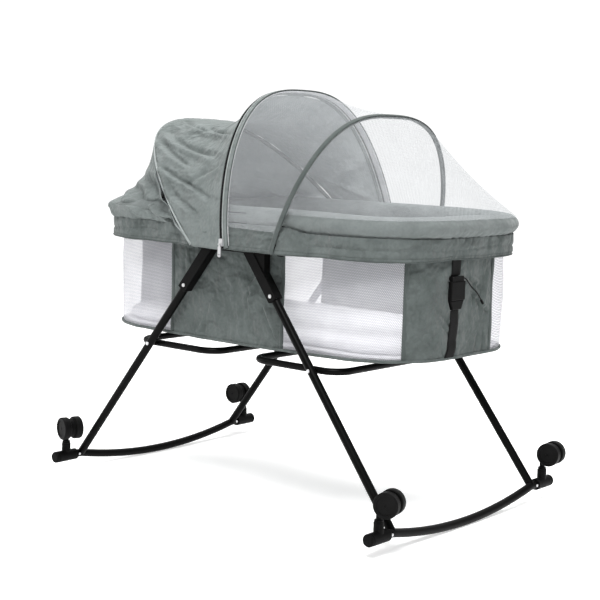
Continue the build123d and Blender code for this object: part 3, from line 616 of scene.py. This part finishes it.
def make_skirt():
    nu, nv = 900, 26
    points = np.array([[skirt_point(i / nu, j / (nv - 1)) for j in range(nv)] for i in range(nu)])
    skirt = thicken(grid("skirt", points, SKIRT, closed_u=True), 0.0014, 0.0)
    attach(skirt, "bed")
    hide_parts("rim_skirt")
    for name, fall, radius in (("skirt_hem", HEM_SHARE, 0.0013), ("skirt_stitch", STITCH_SHARE, 0.0005)):
        path = []
        for i in range(nu):
            p = skirt_point(i / nu, fall)
            _, n = ring_at(SKIRT_LOW_RING, i / nu)
            path.append(p + np.array([n[0], n[1], 0]) * 0.0008)
        line = tube(name, path, radius, BINDING, sides=6, closed=True)
        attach(line, "bed")


# ------------------------------------------------------------------ tub walls
def wall_point(travel, rise, seed=0.0, belly=0.004):
    """rise is 0 at the bottom seam and 1 under the pad."""
    (x, y), (nx, ny) = ring_at(TUB, travel)
    s = travel * ring_length(TUB)
    z = TUB_LOW + (TUB_HIGH - TUB_LOW) * rise
    sag = bottom_sag(travel)
    z += sag * (1 - rise) ** 2
    bulge = belly * math.sin(math.pi * min(1, max(0, rise))) ** 0.8
    wave = 0.0022 * noise.noise(Vector((s * 8, rise * 3, seed)))
    wave += 0.0012 * noise.noise(Vector((s * 22, rise * 6, seed + 4)))
    out = bulge * 0.6 + wave * math.sin(math.pi * (0.1 + 0.8 * rise))
    return np.array([x + nx * out, y + ny * out, z])


def bottom_sag(travel):
    """The bottom seam hangs lower at mid length than at the corners."""
    (x, _), _ = ring_at(TUB, travel)
    return -0.005 * max(0.0, 1 - (x / 0.36) ** 2) + 0.0008 * noise.noise(Vector((travel * 60, 1, 1)))


def creased(points, size, seed, count=13):
    """Short creases at fixed odd places and angles, across a panel."""
    nu, nv = points.shape[:2]
    s = np.linspace(0, size, nu)[:, None] * np.ones((1, nv))
    t = np.linspace(0, 0.21, nv)[None, :] * np.ones((nu, 1))
    shape = np.zeros((nu, nv))
    for k in range(count):
        a, b, c, d = spread(seed, k)
        start = np.array((a * size, 0.03 + b * 0.16))
        way = math.radians(-70 + 140 * c)
        run = 0.05 + 0.09 * d
        finish = start + run * np.array((math.sin(way), -math.cos(way)))
        shape += crease(s, t, start, finish, 0.0030 + 0.0035 * d, 0.0016 + 0.0022 * a)
    inside = np.minimum(1, np.minimum(s, size - s) / 0.012) * np.minimum(1, np.minimum(t, 0.21 - t) / 0.012)
    return shape * np.maximum(0, inside)


def spread(seed, k):
    """Four fixed values between 0 and 1."""
    return [(math.sin(seed * 12.9898 + k * 78.233 + n * 37.719) * 43758.5453) % 1 for n in range(4)]


def strip_of_wall(name, start, end, material, node_names, seed):
    """One cloth or mesh panel of the wall between two travels."""
    dense = 1000 if material is not MESH else 420
    nu = max(16, int(abs(end - start) * dense))
    nv = 90 if material is not MESH else 30
    points = np.zeros((nu, nv, 3))
    for i in range(nu):
        travel = start + (end - start) * i / (nu - 1)
        edge = min(i, nu - 1 - i) / (nu - 1)
        tight = 1 - math.exp(-edge * 14)
        for j in range(nv):
            rise = j / (nv - 1)
            points[i, j] = wall_point(travel, rise, seed, 0.0045 * tight)
    if material is not MESH:
        shape = creased(points, abs(end - start) * ring_length(TUB), seed + 1.0)
        points += outward(points, normals_of(points), (0, 0, 0.42)) * shape[..., None]
    panel = grid(name, points, material)
    if material is not MESH:
        panel = thicken(panel, 0.0012, 0.0)
    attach(panel, "bed")
    if node_names:
        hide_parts(*node_names)
    return panel


def make_walls():
    total = ring_length(TUB)
    half_x, half_y, corner = TUB
    arc_end = ((half_x - corner) + math.pi * corner / 2) / total
    # the foot panel starts on the corner's arc, where y is FOOT_Y[0]
    sine = (-(half_y - corner) - FOOT_Y[0]) / corner
    arc_angle = math.asin(sine)
    foot_start = ((half_x - corner) + corner * (math.pi / 2 - arc_angle)) / total
    foot_end = arc_end + (FOOT_Y[1] + (half_y - corner)) / total
    if FOOT_Y[1] > half_y - corner:
        over = math.asin(min(1, (FOOT_Y[1] - (half_y - corner)) / corner))
        foot_end = arc_end + (2 * (half_y - corner) + corner * over) / total
    f0 = FRONT_X[0] / total
    f1 = FRONT_X[1] / total
    edges = [
        ("panel_front", f0, f1, SIDE, ["front_panel"], "side_cloth"),
        ("mesh_front_foot", f1, foot_start, MESH, ["mesh_windows"], "mesh_cloth"),
        ("panel_foot", foot_start, foot_end, SIDE, ["foot_panel"], "side_cloth"),
        ("mesh_back_foot", foot_end, f0 + 0.5, MESH, [], "mesh_cloth"),
        ("panel_back", f0 + 0.5, f1 + 0.5, SIDE, ["back_panel"], "side_cloth"),
        ("mesh_back_head", f1 + 0.5, foot_start + 0.5, MESH, [], "mesh_cloth"),
        ("panel_head", foot_start + 0.5, foot_end + 0.5, SIDE, ["head_panel"], "side_cloth"),
        ("mesh_front_head", foot_end + 0.5, f0 + 1.0, MESH, [], "mesh_cloth"),
    ]
    for n, (name, start, end, material, node_names, slot) in enumerate(edges):
        panel = strip_of_wall(name, start, end, material, node_names, 3.7 * n)
        make_wall_seam(f"wall_seam_{n}", start)
    make_bottom()


def make_wall_seam(name, start):
    """Folded binding up a panel's first edge."""
    _, (nx, ny) = ring_at(TUB, start)
    points = []
    for j in range(26):
        row = []
        for k in range(4):
            p = wall_point(start + (k - 1.5) * 0.0017 / ring_length(TUB) * 1.6, j / 25, 0, 0.0)
            row.append(p + np.array([nx, ny, 0]) * (0.0014 if k in (1, 2) else 0.0006))
        points.append(row)
    seam = thicken(grid(name, points, BINDING), 0.0012, 0.0)
    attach(seam, "bed")


def make_bottom():
    """Piping round the bottom seam, and the cloth under the bed."""
    path = []
    for i in range(480):
        p = wall_point(i / 480, 0.0, 0, 0)
        _, (nx, ny) = ring_at(TUB, i / 480)
        path.append(p + np.array([nx, ny, 0]) * 0.0012 + np.array([0, 0, -0.0005]))
    piping = tube("bottom_piping", path, 0.0028, SIDE, sides=8, closed=True)
    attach(piping, "bed")
    rows = []
    for i in range(160):
        (x, y), _ = ring_at(TUB, i / 160)
        z = wall_point(i / 160, 0.0, 0, 0)[2]
        row = []
        for k in range(14):
            q = 1 - k / 13
            p = np.array([x * q, y * q, z])
            p[2] = z * q ** 2 + (TUB_LOW - 0.004) * (1 - q ** 2)
            p[2] += 0.0012 * noise.noise(Vector((p[0] * 20, p[1] * 20, 1.0)))
            row.append(p)
        rows.append(row)
    floor = grid("bottom_cloth", rows, SIDE, closed_u=True)
    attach(floor, "bed")
    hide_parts("tub_floor")


# ------------------------------------------------------------------ mattress
def make_mattress():
    low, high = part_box("mattress")
    half_x, half_y = (high[0] - low[0]) / 2 - 0.003, (high[1] - low[1]) / 2 - 0.003
    nu, ring = 120, (half_x, half_y, 0.118)
    rows = []
    under = ((0.0, 0.003), (0.5, 0.002), (0.97, 0.002), (1.0, 0.008))
    over = ((1.0, 0.008), (0.97, 0.003), (0.5, 0.003), (0.0, 0.003))
    section = [(q, low[2] + z) for q, z in under] + [(q, high[2] - z) for q, z in over]
    for q, z in section:
        rows.append([])
        for i in range(nu):
            (x, y), _ = ring_at(ring, i / nu)
            rows[-1].append((x * max(q, 0.02), y * max(q, 0.02), z))
    pad = grid("mattress_pad", np.array(rows), WHITE, closed_v=True)
    mesh = bmesh.new()
    mesh.from_mesh(pad.data)
    bmesh.ops.holes_fill(mesh, edges=mesh.edges[:], sides=0)
    bmesh.ops.recalc_face_normals(mesh, faces=mesh.faces[:])
    mesh.to_mesh(pad.data)
    mesh.free()
    remesh = pad.modifiers.new("remesh", "REMESH")
    remesh.mode = "VOXEL"
    remesh.voxel_size = MATTRESS_VOXEL
    apply_modifiers(pad)
    simulate(pad, MATTRESS_CAP)
    finer = pad.modifiers.new("finer", "SUBSURF")
    finer.levels = 1
    apply_modifiers(pad)
    # quilted channels pressed into the top, and all of it kept inside the model's solid
    co = np.array([v.co for v in pad.data.vertices])
    top = np.clip((co[:, 2] - (low[2] + high[2]) / 2) / 0.012, 0, 1)
    cell_x = np.abs(((co[:, 0] + co[:, 1]) / QUILT_PITCH) % 1 - 0.5) * 2
    cell_y = np.abs(((co[:, 0] - co[:, 1]) / QUILT_PITCH) % 1 - 0.5) * 2
    groove = np.exp(-((1 - cell_x) / 0.12) ** 2) + np.exp(-((1 - cell_y) / 0.12) ** 2)
    co[:, 2] -= QUILT_DEPTH * groove * top
    co[:, 2] = np.clip(co[:, 2], low[2], high[2] + 0.002)
    pad.data.vertices.foreach_set("co", co.ravel())
    pad.data.materials.clear()
    pad.data.materials.append(WHITE)
    pad.data.polygons.foreach_set("use_smooth", [True] * len(pad.data.polygons))
    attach(pad, "bed")
    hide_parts("mattress")


# ------------------------------------------------------------------ hood
def crease(s, t, start, end, width, depth):
    """Soft fold along a line, in metres along and across the panel."""
    a, b = np.array(start), np.array(end)
    d = b - a
    length = math.hypot(*d)
    s = s + 0.010 * np.sin(t * 31 + s * 17 + start[0] * 40)
    t = t + 0.008 * np.sin(s * 43 + t * 11 + end[1] * 50)
    d = d / length
    along = (s - a[0]) * d[0] + (t - a[1]) * d[1]
    off = -(s - a[0]) * d[1] + (t - a[1]) * d[0]
    inside = np.clip(along / length, 0, 1)
    fade = np.clip(np.sin(math.pi * np.clip(inside, 0.02, 0.98)) * 1.6, 0, 1)
    fade = fade * np.where((along < 0) | (along > length), 0, 1)
    valley = -np.exp(-(off / width) ** 2)
    ridge = 0.75 * np.exp(-((off - width * 1.7) / (width * 1.2)) ** 2)
    return depth * (valley + ridge) * fade


def pad_wrap(point, travel, end_angle, steps, swell):
    """Points from a bow point to the pad and round its outer side down to a seam."""
    (x, y), (nx, ny) = ring_at(RING, travel)
    w, h = PAD_W + swell, PAD_H * (1 - head_press(x)) + swell
    reach = ((point[0] - x) * nx + (point[1] - y) * ny) / w
    rise = (point[2] - RIM_Z) / h
    r = max(1.0001, math.hypot(reach, rise))
    angle = math.atan2(rise, reach) - math.acos(1 / r)
    angle = max(angle, end_angle)
    touch = rim_point(travel, angle, swell)
    turn_left = angle - end_angle
    arc = turn_left * (w + h) / 2
    straight = np.linalg.norm(touch - point)
    row = []
    for k in range(steps):
        d = (straight + arc) * k / (steps - 1)
        if d <= straight:
            f = d / straight
            sag = math.sin(math.pi * f)
            row.append((point + (touch - point) * f, sag * min(1, straight / 0.12)))
        else:
            here = angle - (d - straight) / max(arc, 1e-9) * turn_left
            row.append((rim_point(travel, here, swell), 0.0))
    return row


def make_hood_back():
    nu, nv = 170, 46
    turns = even_turns(REAR, nu)
    start = travel_of_x(RING, REAR[0] - 0.006) - 1.0
    end = travel_of_x(RING, REAR[0] - 0.006, True) - 1.0
    points = np.zeros((nu, nv, 3))
    sags = np.zeros((nu, nv))
    bow = rib(REAR, turns, COVER, -0.0036)
    for i in range(nu):
        f = i / (nu - 1)
        # even along the seam, but starting and ending at the bow's feet
        travel = start + (end - start) * f
        end_angle = math.radians(-62)
        foot = bow[i].copy()
        row = pad_wrap(foot, travel, end_angle, nv, 0.0022)
        for j, (p, sag) in enumerate(row):
            points[i, j] = p
            sags[i, j] = sag
        # near the feet the lower edge comes down towards the hem
        near = math.exp(-min(f, 1 - f) / 0.06)
        low = points[i, -1].copy()
        low_target = low.copy()
        low_target[2] = HOOD_HEM_Z
        _, (nx, ny) = ring_at(RING, travel)
        low_target[0] += nx * 0.010
        low_target[1] += ny * 0.010
        for j in range(nv):
            g = (j / (nv - 1)) ** 2
            points[i, j] += (low_target - low) * near * g
    normal = outward(points, normals_of(points), (-0.1, 0, 0.5))
    s = np.linspace(0, BACK_RUN, nu)[:, None] * np.ones((1, nv))
    t = np.zeros((nu, nv))
    t[:, 1:] = np.cumsum(np.linalg.norm(np.diff(points, axis=1), axis=2), axis=1)
    shape = -0.024 * sags
    gap = t[:, -1:] - t
    for ss in (s, BACK_RUN - s):
        near = np.clip((0.36 - ss) / 0.16, 0, 1)
        for fold in BACK_FOLDS:
            shape += near * crease(ss, gap, *fold)
    uneven = 0.0022 * perlin(points, 14.0, 2.0) + 0.0012 * perlin(points, 34.0, 6.0)
    shape += uneven * np.minimum(1, t / 0.02)
    pleats = np.array([gathers(start + (end - start) * i / (nu - 1), 1.3) for i in range(nu)])[:, None]
    shape += 0.0026 * pleats * np.exp(-(gap / 0.016))
    shape = np.where(sags == 0, np.maximum(shape, -0.0016), shape)
    points += normal * shape[..., None]
    sheet = thicken(grid("hood_back_cloth", points, HOOD), 0.0012, 0.0, LINING)
    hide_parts("hood_back")
    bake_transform(sheet)


def make_hood_top():
    nu, nv = 190, 56
    turns_a, turns_b = even_turns(REAR, nu), even_turns(ZIP, nu)
    a = rib(REAR, turns_a, COVER, 0.0036)
    b = rib(ZIP, turns_b, COVER, 0.0040)
    v = np.linspace(0, 1, nv)[None, :, None]
    points = a[:, None, :] * (1 - v) + b[:, None, :] * v
    # a short hem below the feet hides the hinge links
    along = np.linspace(0, 1, nu)
    drop = np.clip(1 - along / 0.03, 0, 1) + np.clip(1 - (1 - along) / 0.03, 0, 1)
    points[..., 2] -= 0.0065 * drop[:, None]
    normal = outward(points, normals_of(points), (-0.1, 0, 0.5))
    span = np.linalg.norm(b - a, axis=1)[:, None]
    vv = np.linspace(0, 1, nv)[None, :]
    s = np.linspace(0, 1.0, nu)[:, None] * np.ones((1, nv))
    t = span * vv
    shape = -0.135 * span * np.sin(math.pi * vv ** 1.25) * np.minimum(1, span / 0.2) ** 1.5
    for ss, share in ((s, 1.0), (1.0 - s, 0.6)):
        for fold in TOP_FOLDS:
            shape += share * crease(ss, t, *fold)
    edge = np.minimum(1, np.minimum(t, span - t) / 0.02)
    shape += (0.0030 * perlin(points, 13.0, 12.0) + 0.0014 * perlin(points, 32.0, 16.0)) * edge
    pucker = 0.0022 * np.sin(s * 2 * math.pi / 0.021 + 2.0 * perlin(points, 20.0, 3.0)) * np.exp(-t / 0.018)
    shape += pucker * edge
    points += normal * (shape * np.minimum(1, np.minimum(s, 1 - s) / 0.02))[..., None]
    sheet = thicken(grid("hood_top_cloth", points, HOOD, flip=True), 0.0012, 0.0, LINING)
    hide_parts("hood_top")
    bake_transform(sheet)


def sleeve(name, bow, material, radius, out=0.0, along=0.0, body=None, flat=1.0, sides=10, count=170):
    turns = even_turns(bow, count)
    path = rib(bow, turns, out, along)
    tilt = math.radians(bow[1])
    flat_dir = (math.cos(tilt), 0, math.sin(tilt))
    thing = tube(name, path, radius, material, sides=sides, flat=flat, flat_dir=flat_dir)
    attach(thing, body)
    return thing


def strip(name, bow, start, width, out, material, body, thickness=0.001, count=170, ends=0.0):
    """Flat tape beside a bow, on the cloth's surface."""
    turns = even_turns(bow, count)
    rows = []
    for k in range(5):
        rows.append(rib(bow, turns, out + 0.0006 * math.sin(math.pi * k / 4), start + width * k / 4))
    points = np.array(rows)
    points[:, 0, 2] -= ends
    points[:, -1, 2] -= ends
    tape = thicken(grid(name, points, material), thickness, 0.0)
    if body:
        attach(tape, body)
    return tape


def make_zipper():
    tape = strip("zip_tape_strip", ZIP, 0.0040, 0.0072, 0.0040, ZIP_TAPE, "zip_bow", ends=0.004)
    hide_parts("zipper")
    # interlocked teeth
    turns = even_turns(ZIP, 330)
    path = rib(ZIP, turns, 0.0052, 0.0078)
    tangent = np.gradient(path, axis=0)
    tangent /= np.linalg.norm(tangent, axis=1, keepdims=True)
    tilt = math.radians(ZIP[1])
    across = np.array([math.cos(tilt), 0, math.sin(tilt)])
    verts, faces = [], []
    for i, (p, t) in enumerate(zip(path, tangent)):
        up_dir = np.cross(t, across)
        side = 1 if i % 2 else -1
        centre = p + across * 0.0008 * side
        base = len(verts)
        for a in (-1, 1):
            for b in (-1, 1):
                for c in (-1, 1):
                    verts.append(centre + across * a * 0.0014 + t * b * 0.0009 + up_dir * c * 0.0007)
        for quad in ((0, 1, 3, 2), (4, 6, 7, 5), (0, 4, 5, 1), (2, 3, 7, 6), (0, 2, 6, 4), (1, 5, 7, 3)):
            faces.append(tuple(base + q for q in quad))
    teeth = add("zip_teeth", verts, faces, PLASTIC, smooth=False)
    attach(teeth, "zip_bow")
    light = strip("zip_light_edge", ZIP, 0.0112, 0.0026, 0.0052, PIPING, "net_bow")
    squash_net(light)
    band = strip("net_zip_band", ZIP, 0.0136, 0.0090, 0.0042, HOOD, None, thickness=0.0014, ends=0.004)
    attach(band, "net_bow")
    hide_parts("net_binding")
    squash_net(band)
    inner = strip("net_zip_band_inside", ZIP, 0.0100, 0.0130, 0.0016, WHITE, "net_bow")
    squash_net(inner)
    edge = sleeve("net_band_edge", ZIP, BINDING, 0.0011, out=0.0046, along=0.0230, body="net_bow", sides=6)
    squash_net(edge)


def squash_net(thing):
    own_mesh(thing)


def above_height(bow, low):
    """Range of a bow's parameter where it is above a height."""
    fine = np.linspace(0, math.pi, 1001)
    above = fine[rib(bow, fine, COVER)[:, 2] > low]
    return above[0], above[-1]


def make_net():
    nu, nv = 130, 36
    turns_a = even_turns(ZIP, nu, *above_height(ZIP, NET_LOW_Z))
    turns_b = even_turns(NET, nu, *above_height(NET, NET_LOW_Z))
    a = rib(ZIP, turns_a, COVER, 0.0228)
    b = rib(NET, turns_b, COVER, -0.0030)
    v = np.linspace(0, 1, nv)[None, :, None]
    points = a[:, None, :] * (1 - v) + b[:, None, :] * v
    normal = outward(points, normals_of(points), (0.1, 0, 0.5))
    span = np.linalg.norm(b - a, axis=1)[:, None]
    vv = np.linspace(0, 1, nv)[None, :]
    sag = -0.04 * span * np.sin(math.pi * vv) * np.minimum(1, span / 0.2)
    sag = sag + 0.0012 * perlin(points, 12.0, 21.0) * np.sin(math.pi * vv)
    points += normal * sag[..., None]
    front = grid("net_front_sheet", points, NETTING)
    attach(front, "net_bow")
    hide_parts("net_front")
    squash_net(front)
    # foot part: from the bow's upper length to the top of the pad
    turns = even_turns(NET, 120, *above_height(NET, NET_FOOT_LOW_Z))
    bow = rib(NET, turns, COVER, 0.0030)
    start = travel_of_x(RING, NET[0] + 0.018)
    end = travel_of_x(RING, NET[0] + 0.018, True)
    rows = []
    for i in range(120):
        travel = start + (end - start) * i / 119
        (x, y), (nx, ny) = ring_at(RING, travel)
        reach = ((bow[i][0] - x) * nx + (bow[i][1] - y) * ny) / (PAD_W + 0.001)
        rise = (bow[i][2] - RIM_Z) / (PAD_H + 0.001)
        r = max(1.0001, math.hypot(reach, rise))
        angle = max(math.atan2(rise, reach) - math.acos(1 / r), math.radians(38))
        touch = rim_point(travel, angle, 0.0012)
        gap = np.linalg.norm(touch - bow[i])
        row = []
        for k in range(36):
            f = k / 35
            p = bow[i] + (touch - bow[i]) * f
            p[2] -= 0.045 * gap * math.sin(math.pi * f)
            row.append(p)
        rows.append(row)
    foot = grid("net_foot_sheet", np.array(rows), NETTING)
    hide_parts("net_foot")
    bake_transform(foot)
    sleeve("net_bow_sleeve", NET, BINDING, 0.0031, out=0.0, body="net_bow")
    strip("net_bow_band", NET, -0.0050, 0.0100, 0.0036, BINDING, "net_bow", thickness=0.0012, ends=0.004)


def make_hood():
    make_hood_back()
    make_hood_top()
    sleeve("rear_bow_channel", REAR, HOOD, 0.0030, out=0.0, body="rear_bow", flat=1.6)
    sleeve("rear_bow_piping", REAR, PIPING, 0.0019, out=0.0036, body="rear_bow", sides=8)
    sleeve("rear_bow_inner_seam", REAR, BINDING, 0.0008, out=-0.0034, body="rear_bow", sides=6)
    sleeve("zip_bow_sleeve", ZIP, HOOD, 0.0031, out=0.0, body="zip_bow")
    make_zipper()
    make_net()


# ------------------------------------------------------------------ foot-end strap and cord
def strap_row(x, left, width, z):
    return [(x, left + width * k / 6, z) for k in range(7)]


def make_strap():
    rows = []
    low, high = STRAP_UPPER_Z
    for z in np.linspace(low, high, 14):
        bow_out = 0.0012 * math.sin(math.pi * (z - low) / (high - low))
        row = strap_row(STRAP_X + bow_out, STRAP_Y - 0.014, 0.028, z)
        rows.append([(x + 0.0003 * math.cos(k), y, h) for k, (x, y, h) in enumerate(row)])
    upper = thicken(grid("strap_upper", np.array(rows), WEBBING), WEBBING_T, 0.0)
    rows = []
    high, low = STRAP_LOWER_Z
    for n, z in enumerate(np.linspace(high, low, 16)):
        f = n / 15
        bow_out = 0.0018 * math.sin(math.pi * f)
        rows.append(strap_row(STRAP_X + bow_out, STRAP_Y - 0.0035 * f ** 2 - 0.013, 0.026, z))
    for n in range(1, 8):
        f = n / 7
        kick = 0.0035 + 0.0085 * f ** 1.5
        bow_out = 0.0026 * math.sin(math.pi * f)
        rows.append(strap_row(STRAP_X + bow_out, STRAP_Y - kick - 0.013, 0.026, low - STRAP_KICK_DROP * f))
    lower = thicken(grid("strap_lower", np.array(rows), WEBBING), WEBBING_T, 0.0)
    for thing, length in ((upper, 0.064), (lower, 0.090)):
        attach(thing, "bed")
    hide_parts("strap_webbing")
    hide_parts("strap_hook")


CORD_ROUTE = [
    (0.3970, -0.0330, 0.4610),
    (0.3970, -0.0260, 0.4610),
    (0.3985, -0.0165, 0.4515),
    (0.3990, -0.0045, 0.4410),
    (0.3990, 0.0080, 0.4348),
    (0.3990, 0.0185, 0.4255),
    (0.3990, 0.0270, 0.4165),
]


def make_cord():
    curve = bpy.data.curves.new("adjuster_cord_line", "CURVE")
    curve.dimensions = "3D"
    spline = curve.splines.new("NURBS")
    spline.points.add(len(CORD_ROUTE) - 1)
    for point, place in zip(spline.points, CORD_ROUTE):
        point.co = (*place, 1)
    spline.order_u = 3
    spline.use_endpoint_u = True
    spline.resolution_u = 12
    curve.bevel_depth = 0.0012
    curve.bevel_resolution = 4
    curve.use_fill_caps = True
    curve.materials.append(ZIP_TAPE)
    cord = bpy.data.objects.new("adjuster_cord_line", curve)
    bpy.context.collection.objects.link(cord)
    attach(cord, "bed")
    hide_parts("adjuster_cord")


# ------------------------------------------------------------------ stage
def glowing(name, strength):
    mat, tree, shader = new_material(name)
    shader.inputs["Emission Color"].default_value = (1, 1, 1, 1)
    shader.inputs["Emission Strength"].default_value = strength
    return mat, tree, shader


def stage_sheet(name, corners, material):
    add(name, corners, [(0, 1, 2, 3)], material, smooth=False)


def make_stage():
    paper, tree, shader = glowing("floor_paper", 0.44)
    colour = ramp(tree, noise_fac(tree, 2.0), (0.86,) * 3, (0.89,) * 3)
    tree.links.new(colour, shader.inputs["Base Color"])
    shader.inputs["Roughness"].default_value = 0.9
    shader.inputs["Specular IOR Level"].default_value = 0.1
    stage_sheet("floor", [(-14, -14, 0), (14, -14, 0), (14, 14, 0), (-14, 14, 0)], paper)
    white, tree, shader = glowing("backdrop_white", 1.05)
    shader.inputs["Base Color"].default_value = (0, 0, 0, 1)
    centre = Vector((TARGET.x, TARGET.y, 0)) - Vector((back.x, back.y, 0)) * 7
    side = Vector((right.x, right.y, 0)) * 12
    foot, top = Vector((0, 0, -0.02)), Vector((0, 0, 9))
    corners = [centre - side + foot, centre + side + foot, centre + side + top, centre - side + top]
    stage_sheet("backdrop", corners, white)
    world = bpy.data.worlds.new("studio")
    bpy.context.scene.world = world
    world.use_nodes = True
    world.node_tree.nodes["Background"].inputs["Color"].default_value = (1, 1, 1, 1)
    world.node_tree.nodes["Background"].inputs["Strength"].default_value = 0.5
    for name, place, size, power in (
        ("key", (1.2, -1.7, 3.0), 1.1, 95),
        ("side", (-2.6, -1.6, 1.3), 1.6, 18),
        ("top", (-0.2, 0.8, 3.0), 1.6, 75),
    ):
        light = bpy.data.lights.new(name, "AREA")
        light.size = size
        light.energy = power
        lamp = bpy.data.objects.new(name, light)
        lamp.location = place
        lamp.rotation_euler = (Vector((0, 0, 0.45)) - Vector(place)).to_track_quat("-Z", "Y").to_euler()
        bpy.context.collection.objects.link(lamp)
    bpy.context.scene.view_settings.view_transform = "Standard"


make_cord()
make_pad()
make_skirt()
make_walls()
make_mattress()
make_hood()
make_strap()
make_stage()
